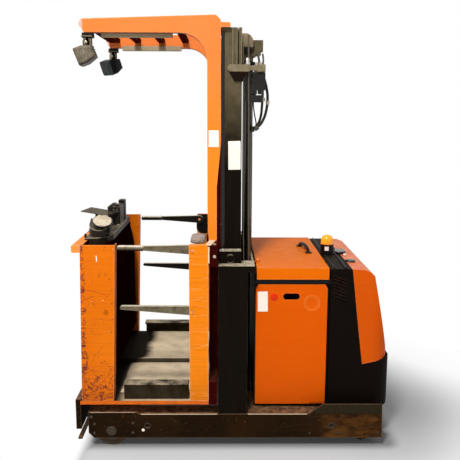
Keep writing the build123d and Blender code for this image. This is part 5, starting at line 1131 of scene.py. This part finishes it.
def make_door_details():
    """Rim of each hand slot, foot strips, and the near door's blank plate, red disc and bare roundel."""
    slot_x, slot_z, slot_half, slot_r = 0.305, 0.825, 0.027, 0.0195
    for side, name in SIDES:
        y = BODY_Y * side
        rim = [(slot_x + math.copysign(slot_half, c) + slot_r * c, y - 0.0008 * side, slot_z + slot_r * s)
               for c, s in closed_circle(32)]
        Form().tube(rim, 0.0022).piece("door_slot_rim_" + name, "chassis", "orange_paint", DOOR)
        inner = y - 0.004 * side
        form = Form().block((0.414, min(y, inner), 0.2065), (0.492, max(y, inner), 0.220))
        form.piece("door_foot_strip_" + name, "chassis", "black_housing", TRIM, 0.0006)
    plate_px = rectangle(257.8, 291.5, 267.8, 311.5)
    plate_on("door_plate_blank", "side_door_near", plate_px, 0.001, "chassis", "orange_paint")
    disc = ((0.0205, 0), (0.0205, 0.0008), (0.020, 0.0011))
    form = turned_on(Form(), "side_door_near", (274.0, 297.2), disc, 40, 0.0003)
    form.piece("door_red_disc", "chassis", "red_paint", RED)
    roundel = ((0.046, 0), (0.046, 0.0010), (0.0445, 0.0016), (0.043, 0.0010))
    form = turned_on(Form(), "side_door_near", (312.0, 303.0), roundel, 48, 0.0002)
    form.piece("door_bare_roundel", "chassis", "orange_paint", DOOR)


def make_lid_details():
    """Bowed handle of the battery lid, and the orange knob beside the mast."""
    top = 0.984
    handle = ((0.412, 0.150, 0.004), (0.416, 0.130, 0.022), (0.424, 0.085, 0.030), (0.436, 0.020, 0.030),
              (0.442, -0.030, 0.022), (0.444, -0.055, 0.004))
    widths = (0.008, 0.009, 0.010, 0.010, 0.009, 0.008)
    form = Form().tube([(x, y, top + z) for x, y, z in handle], widths, 14)
    form.block((0.395, 0.135, top), (0.430, 0.172, top + 0.006))
    form.block((0.425, -0.076, top), (0.462, -0.040, top + 0.006))
    form.piece("lid_handle", "lid", "black_housing", TRIM, 0.001, 60)
    spot = seen_z(253.6, 262.0, top)
    knob = ((0.010, 0), (0.010, 0.008), (0.013, 0.011), (0.013, 0.017), (0.009, 0.021), (0.003, 0.022))
    form = Form().turned((max(spot.x, 0.128), spot.y, top - 0.001), UP, knob, 20)
    form.piece("lid_knob", "chassis", "orange_paint", KNOB)


def make_unit_details():
    """Beads, catch and pin on the power unit's top, lock and seams of its cover, and ribs by its grille."""
    top = 0.978
    form = Form()
    for x, radius in ((0.600, 0.006), (0.536, 0.0045)):
        form.tube([(x, y, top + 0.002) for y in (0.440, 0.20, -0.05, -0.25, -0.445)], radius, 10)
    form.piece("unit_top_beads", "chassis", "black_housing", TRIM, smooth=60)
    spot = seen_z(339.6, 252.6, top)
    catch = ((-0.034, -0.055), (0.030, -0.055), (0.034, 0.050), (-0.026, 0.055))
    form = Form().prism(rounded_loop([spot + Vector((x, y, 0)) for x, y in catch], 0.026), (0, 0, 0.016))
    form.piece("unit_catch", "chassis", "black_housing", GLOSS, 0.005)
    spot = seen_z(344.6, 254.4, top + 0.004)
    pin = ((0.009, 0), (0.009, 0.006), (0.006, 0.009), (0.002, 0.010))
    Form().turned((spot.x, spot.y, top), UP, pin, 18).piece("unit_pin", "chassis", "steel_bright", PLATE)
    lock = ((0.030, 0), (0.030, 0.005), (0.026, 0.010), (0.012, 0.012))
    form = turned_on(Form(), "rear_cover", (350.2, 261.4), lock, 28)
    form.piece("cover_lock", "chassis", "black_housing", GLOSS)
    for side, name in SIDES:
        y = (BODY_Y + 0.0006) * side
        form = Form().tube([(0.632, y, 0.976), (0.666, y, 0.700), (0.700, y, 0.441)], 0.0020, 6)
        form.piece("cover_seam_" + name, "chassis", "black_housing", TRIM)
        y = (BODY_Y + 0.0005) * side
        form = Form()
        for index in range(7):
            z = 0.820 + index * 0.112 / 6
            form.tube([(0.530, y, z + 0.010), (0.600, y, z - 0.016)], 0.0022, 6)
        form.piece("grille_ribs_" + name, "chassis", "black_housing", TRIM)


def make_beacon_details():
    """Red band and moulded ribs of the dome, blank label and rings of the base."""
    beacon = Vector((0.553, -0.060, 0))
    band = ((0.0375, 1.030), (0.0385, 1.032), (0.0385, 1.040), (0.0370, 1.043))
    Form().turned(beacon, UP, band, 40).piece("beacon_band", "chassis", "red_paint", RED_BAND)
    form = Form()
    for c, s in circle(24):
        form.tube([beacon + Vector((c * 0.0356, s * 0.0356, z)) for z in (1.047, 1.068)], 0.0012, 6)
    form.piece("beacon_ribs", "chassis", "amber_lens", AMBER)
    low, high, inner, outer = 1.006, 1.030, 0.0394, 0.0400
    form = Form()
    rings = []
    for angle in (math.radians(-118 + 5 * step) for step in range(8)):
        c, s = math.cos(angle), math.sin(angle)
        rings.append(form.ring(beacon + Vector((c * r, s * r, z))
                               for r, z in ((inner, low), (inner, high), (outer, high), (outer, low))))
    form.join(rings).piece("beacon_label_blank", "chassis", "black_housing", PLATE)
    form = Form()
    for z, size in ((0.985, 0.0405), (0.998, 0.0400)):
        ring = ((0.0390, z - 0.003), (size, z - 0.002), (size, z + 0.002), (0.0390, z + 0.003))
        form.turned(beacon, UP, ring, 40)
    form.piece("beacon_base_rings", "chassis", "black_housing", TRIM)


def make_chassis_details():
    """Bolts of the near side, rings of the side holes, axle caps, pale edge strips that are a painted
    highlight partly of worn metal, and a spot of paint.
    """
    bolts = ((91.0, 417.0, 0.007), (94.5, 424.0, 0.006), (94.5, 433.0, 0.006), (133.0, 423.0, 0.006),
             (133.0, 432.5, 0.006), (309.6, 433.1, 0.005), (339.4, 432.9, 0.005), (343.4, 432.9, 0.004),
             (377.3, 432.6, 0.006))
    bolts_on("frame_bolts_near", "chassis_frame", "chassis", "dark_paint", CAP, bolts)
    holes, caps, worn_and_lit_edges = Form(), Form(), Form()
    cap = ((0.019, 0), (0.019, 0.0010), (0.012, 0.0016), (0.010, 0.0006), (0.004, 0.0006))
    washer = ((0.0275, -0.0003), (0.0275, 0.0015), (0.0255, 0.0025))
    # Fore end, rear end, height, radius, count of parts and of sides of each pale edge strip, a painted
    # highlight partly of worn bare metal
    edges = ((-0.512, -0.098, 0.1868, 0.0026, 10, 8), (0.070, 0.392, 0.1868, 0.0026, 10, 8),
             (-0.79, -0.545, 0.1966, 0.0012, 6, 6))
    for side, _ in SIDES:
        for x in (-0.478, 0.527):
            ring = [(x + c * 0.0155, 0.545 * side, 0.120 + s * 0.0155) for c, s in closed_circle(32)]
            holes.tube(ring, 0.0028)
        outward = (0, side, 0)
        caps.turned((-0.675, side * 0.552, 0.091), outward, cap, 32)
        caps.turned((-0.675, side * 0.5452, 0.091), outward, washer, 36)
        for start, end, z, radius, count, sides in edges:
            path = [(start + (end - start) * step / count, 0.5440 * side, z) for step in range(count + 1)]
            worn_and_lit_edges.tube(path, radius, sides)
    holes.piece("side_hole_rings", "chassis", "dark_paint", CAP)
    caps.piece("axle_cap_rings", "chassis", "cast_grey", CAP)
    worn_and_lit_edges.piece("frame_edge_highlights", "chassis", "dark_paint", WORN_EDGE_HIGHLIGHT)
    form = turned_on(Form(), "chassis_frame", (143.2, 430.0), ((0.009, 0), (0.008, 0.0006)), 9, 0.0002)
    form.piece("paint_spot", "chassis", "dark_paint", PLATE)


make_pad()
make_disc_face()
make_dash_rims()
make_hand_details()
make_lamp(False, "near")
make_lamp(True, "far")
make_guard_details()
make_post_bolts()
make_panel_marks()
make_post_plates()
make_gate_details()
make_mast_details()
make_mast_head()
make_chains()
make_door_details()
make_lid_details()
make_unit_details()
make_beacon_details()
make_chassis_details()


# Floor and light
def show_to_eye(tree):
    """1 for rays from the camera, a mirror or glass, else 0."""
    path = tree.nodes.new("ShaderNodeLightPath")
    shown = path.outputs["Is Camera Ray"]
    for ray in ("Is Glossy Ray", "Is Transmission Ray"):
        most = tree.nodes.new("ShaderNodeMath")
        most.operation = "MAXIMUM"
        tree.links.new(shown, most.inputs[0])
        tree.links.new(path.outputs[ray], most.inputs[1])
        shown = most.outputs[0]
    return shown


def make_floor():
    """A large pale disc, darker under and beside the truck where its shadow lies, and white away from it."""
    mesh = bpy.data.meshes.new("floor")
    bm = bmesh.new()
    bmesh.ops.create_circle(bm, cap_ends=True, segments=96, radius=40.0)
    bm.to_mesh(mesh)
    bm.free()
    floor = bpy.data.objects.new("floor", mesh)
    bpy.context.scene.collection.objects.link(floor)
    floor.location.z = -0.0005
    g = Graph("floor_card")
    g.tree.nodes.remove(g.shader)
    past_x = g.highest(g.math("ABSOLUTE", g.x - 0.03) - 0.80, 0.0)
    past_y = g.highest(g.math("ABSOLUTE", g.y) - 0.50, 0.0)
    past = g.math("SQRT", past_x * past_x + past_y * past_y)
    shade = g.step(past, 0.02, 0.11) * 0.50 + 0.03 + g.step(past, 0.08, 0.62) * 0.47
    off_x, off_y = g.x - 0.98, g.y + 0.02
    off = g.math("SQRT", off_x * off_x + off_y * off_y)
    cast = g.step(off, 0.0, 0.85) * 0.70 + 0.30
    left = 1.0 - g.step(g.x, -0.86, -0.76)
    glow = g.node("ShaderNodeEmission")
    g.wire(g.mix(g.highest(shade * cast, left), (0, 0, 0), (1, 1, 1)), glow.inputs["Color"])
    diffuse = g.node("ShaderNodeBsdfDiffuse")
    diffuse.inputs["Color"].default_value = (0.8, 0.8, 0.8, 1)
    share = g.highest(g.step(past, 0.25, 1.1), left) * 0.28 + 0.72
    blend = g.node("ShaderNodeMixShader")
    g.wire(share * show_to_eye(g.tree), blend.inputs[0])
    g.wire(diffuse.outputs[0], blend.inputs[1])
    g.wire(glow.outputs[0], blend.inputs[2])
    g.wire(blend.outputs[0], g.out.inputs["Surface"])
    mesh.materials.append(g.material)


def make_world():
    """Even white surroundings: plain light on the object, pure white where they are seen or mirrored."""
    world = bpy.data.worlds.new("studio")
    world.use_nodes = True
    bpy.context.scene.world = world
    tree = world.node_tree
    strength = tree.nodes.new("ShaderNodeMapRange")
    strength.inputs["To Min"].default_value = 0.22
    strength.inputs["To Max"].default_value = 1.0
    tree.links.new(show_to_eye(tree), strength.inputs["Value"])
    background = tree.nodes["Background"]
    background.inputs["Color"].default_value = (1, 1, 1, 1)
    tree.links.new(strength.outputs[0], background.inputs["Strength"])


def make_lights():
    """A fairly small key light high on the near side, and four large soft ones."""
    for name, at, aim, size, power in (
            ("key", (-0.80, -3.45, 5.25), (0, -0.3, 1.0), 0.7, 262),
            ("front", (-0.45, -4.9, 1.7), (-0.2, -0.3, 0.9), 1.2, 52),
            ("top", (-1.2, -1.6, 5.2), (0, 0, 1.0), 2.0, 30),
            ("back", (2.2, 4.4, 2.6), (0.2, 0, 1.0), 2.2, 75),
            ("left", (-4.4, 0.8, 2.2), (-0.5, 0, 1.0), 2.2, 50)):
        data = bpy.data.lights.new(name, "AREA")
        data.size = size
        data.energy = power
        lamp = bpy.data.objects.new(name, data)
        bpy.context.scene.collection.objects.link(lamp)
        lamp.location = at
        lamp.visible_glossy = name == "key"
        lamp.rotation_euler = (Vector(aim) - Vector(at)).to_track_quat("-Z", "Y").to_euler()


make_floor()
make_world()
make_lights()
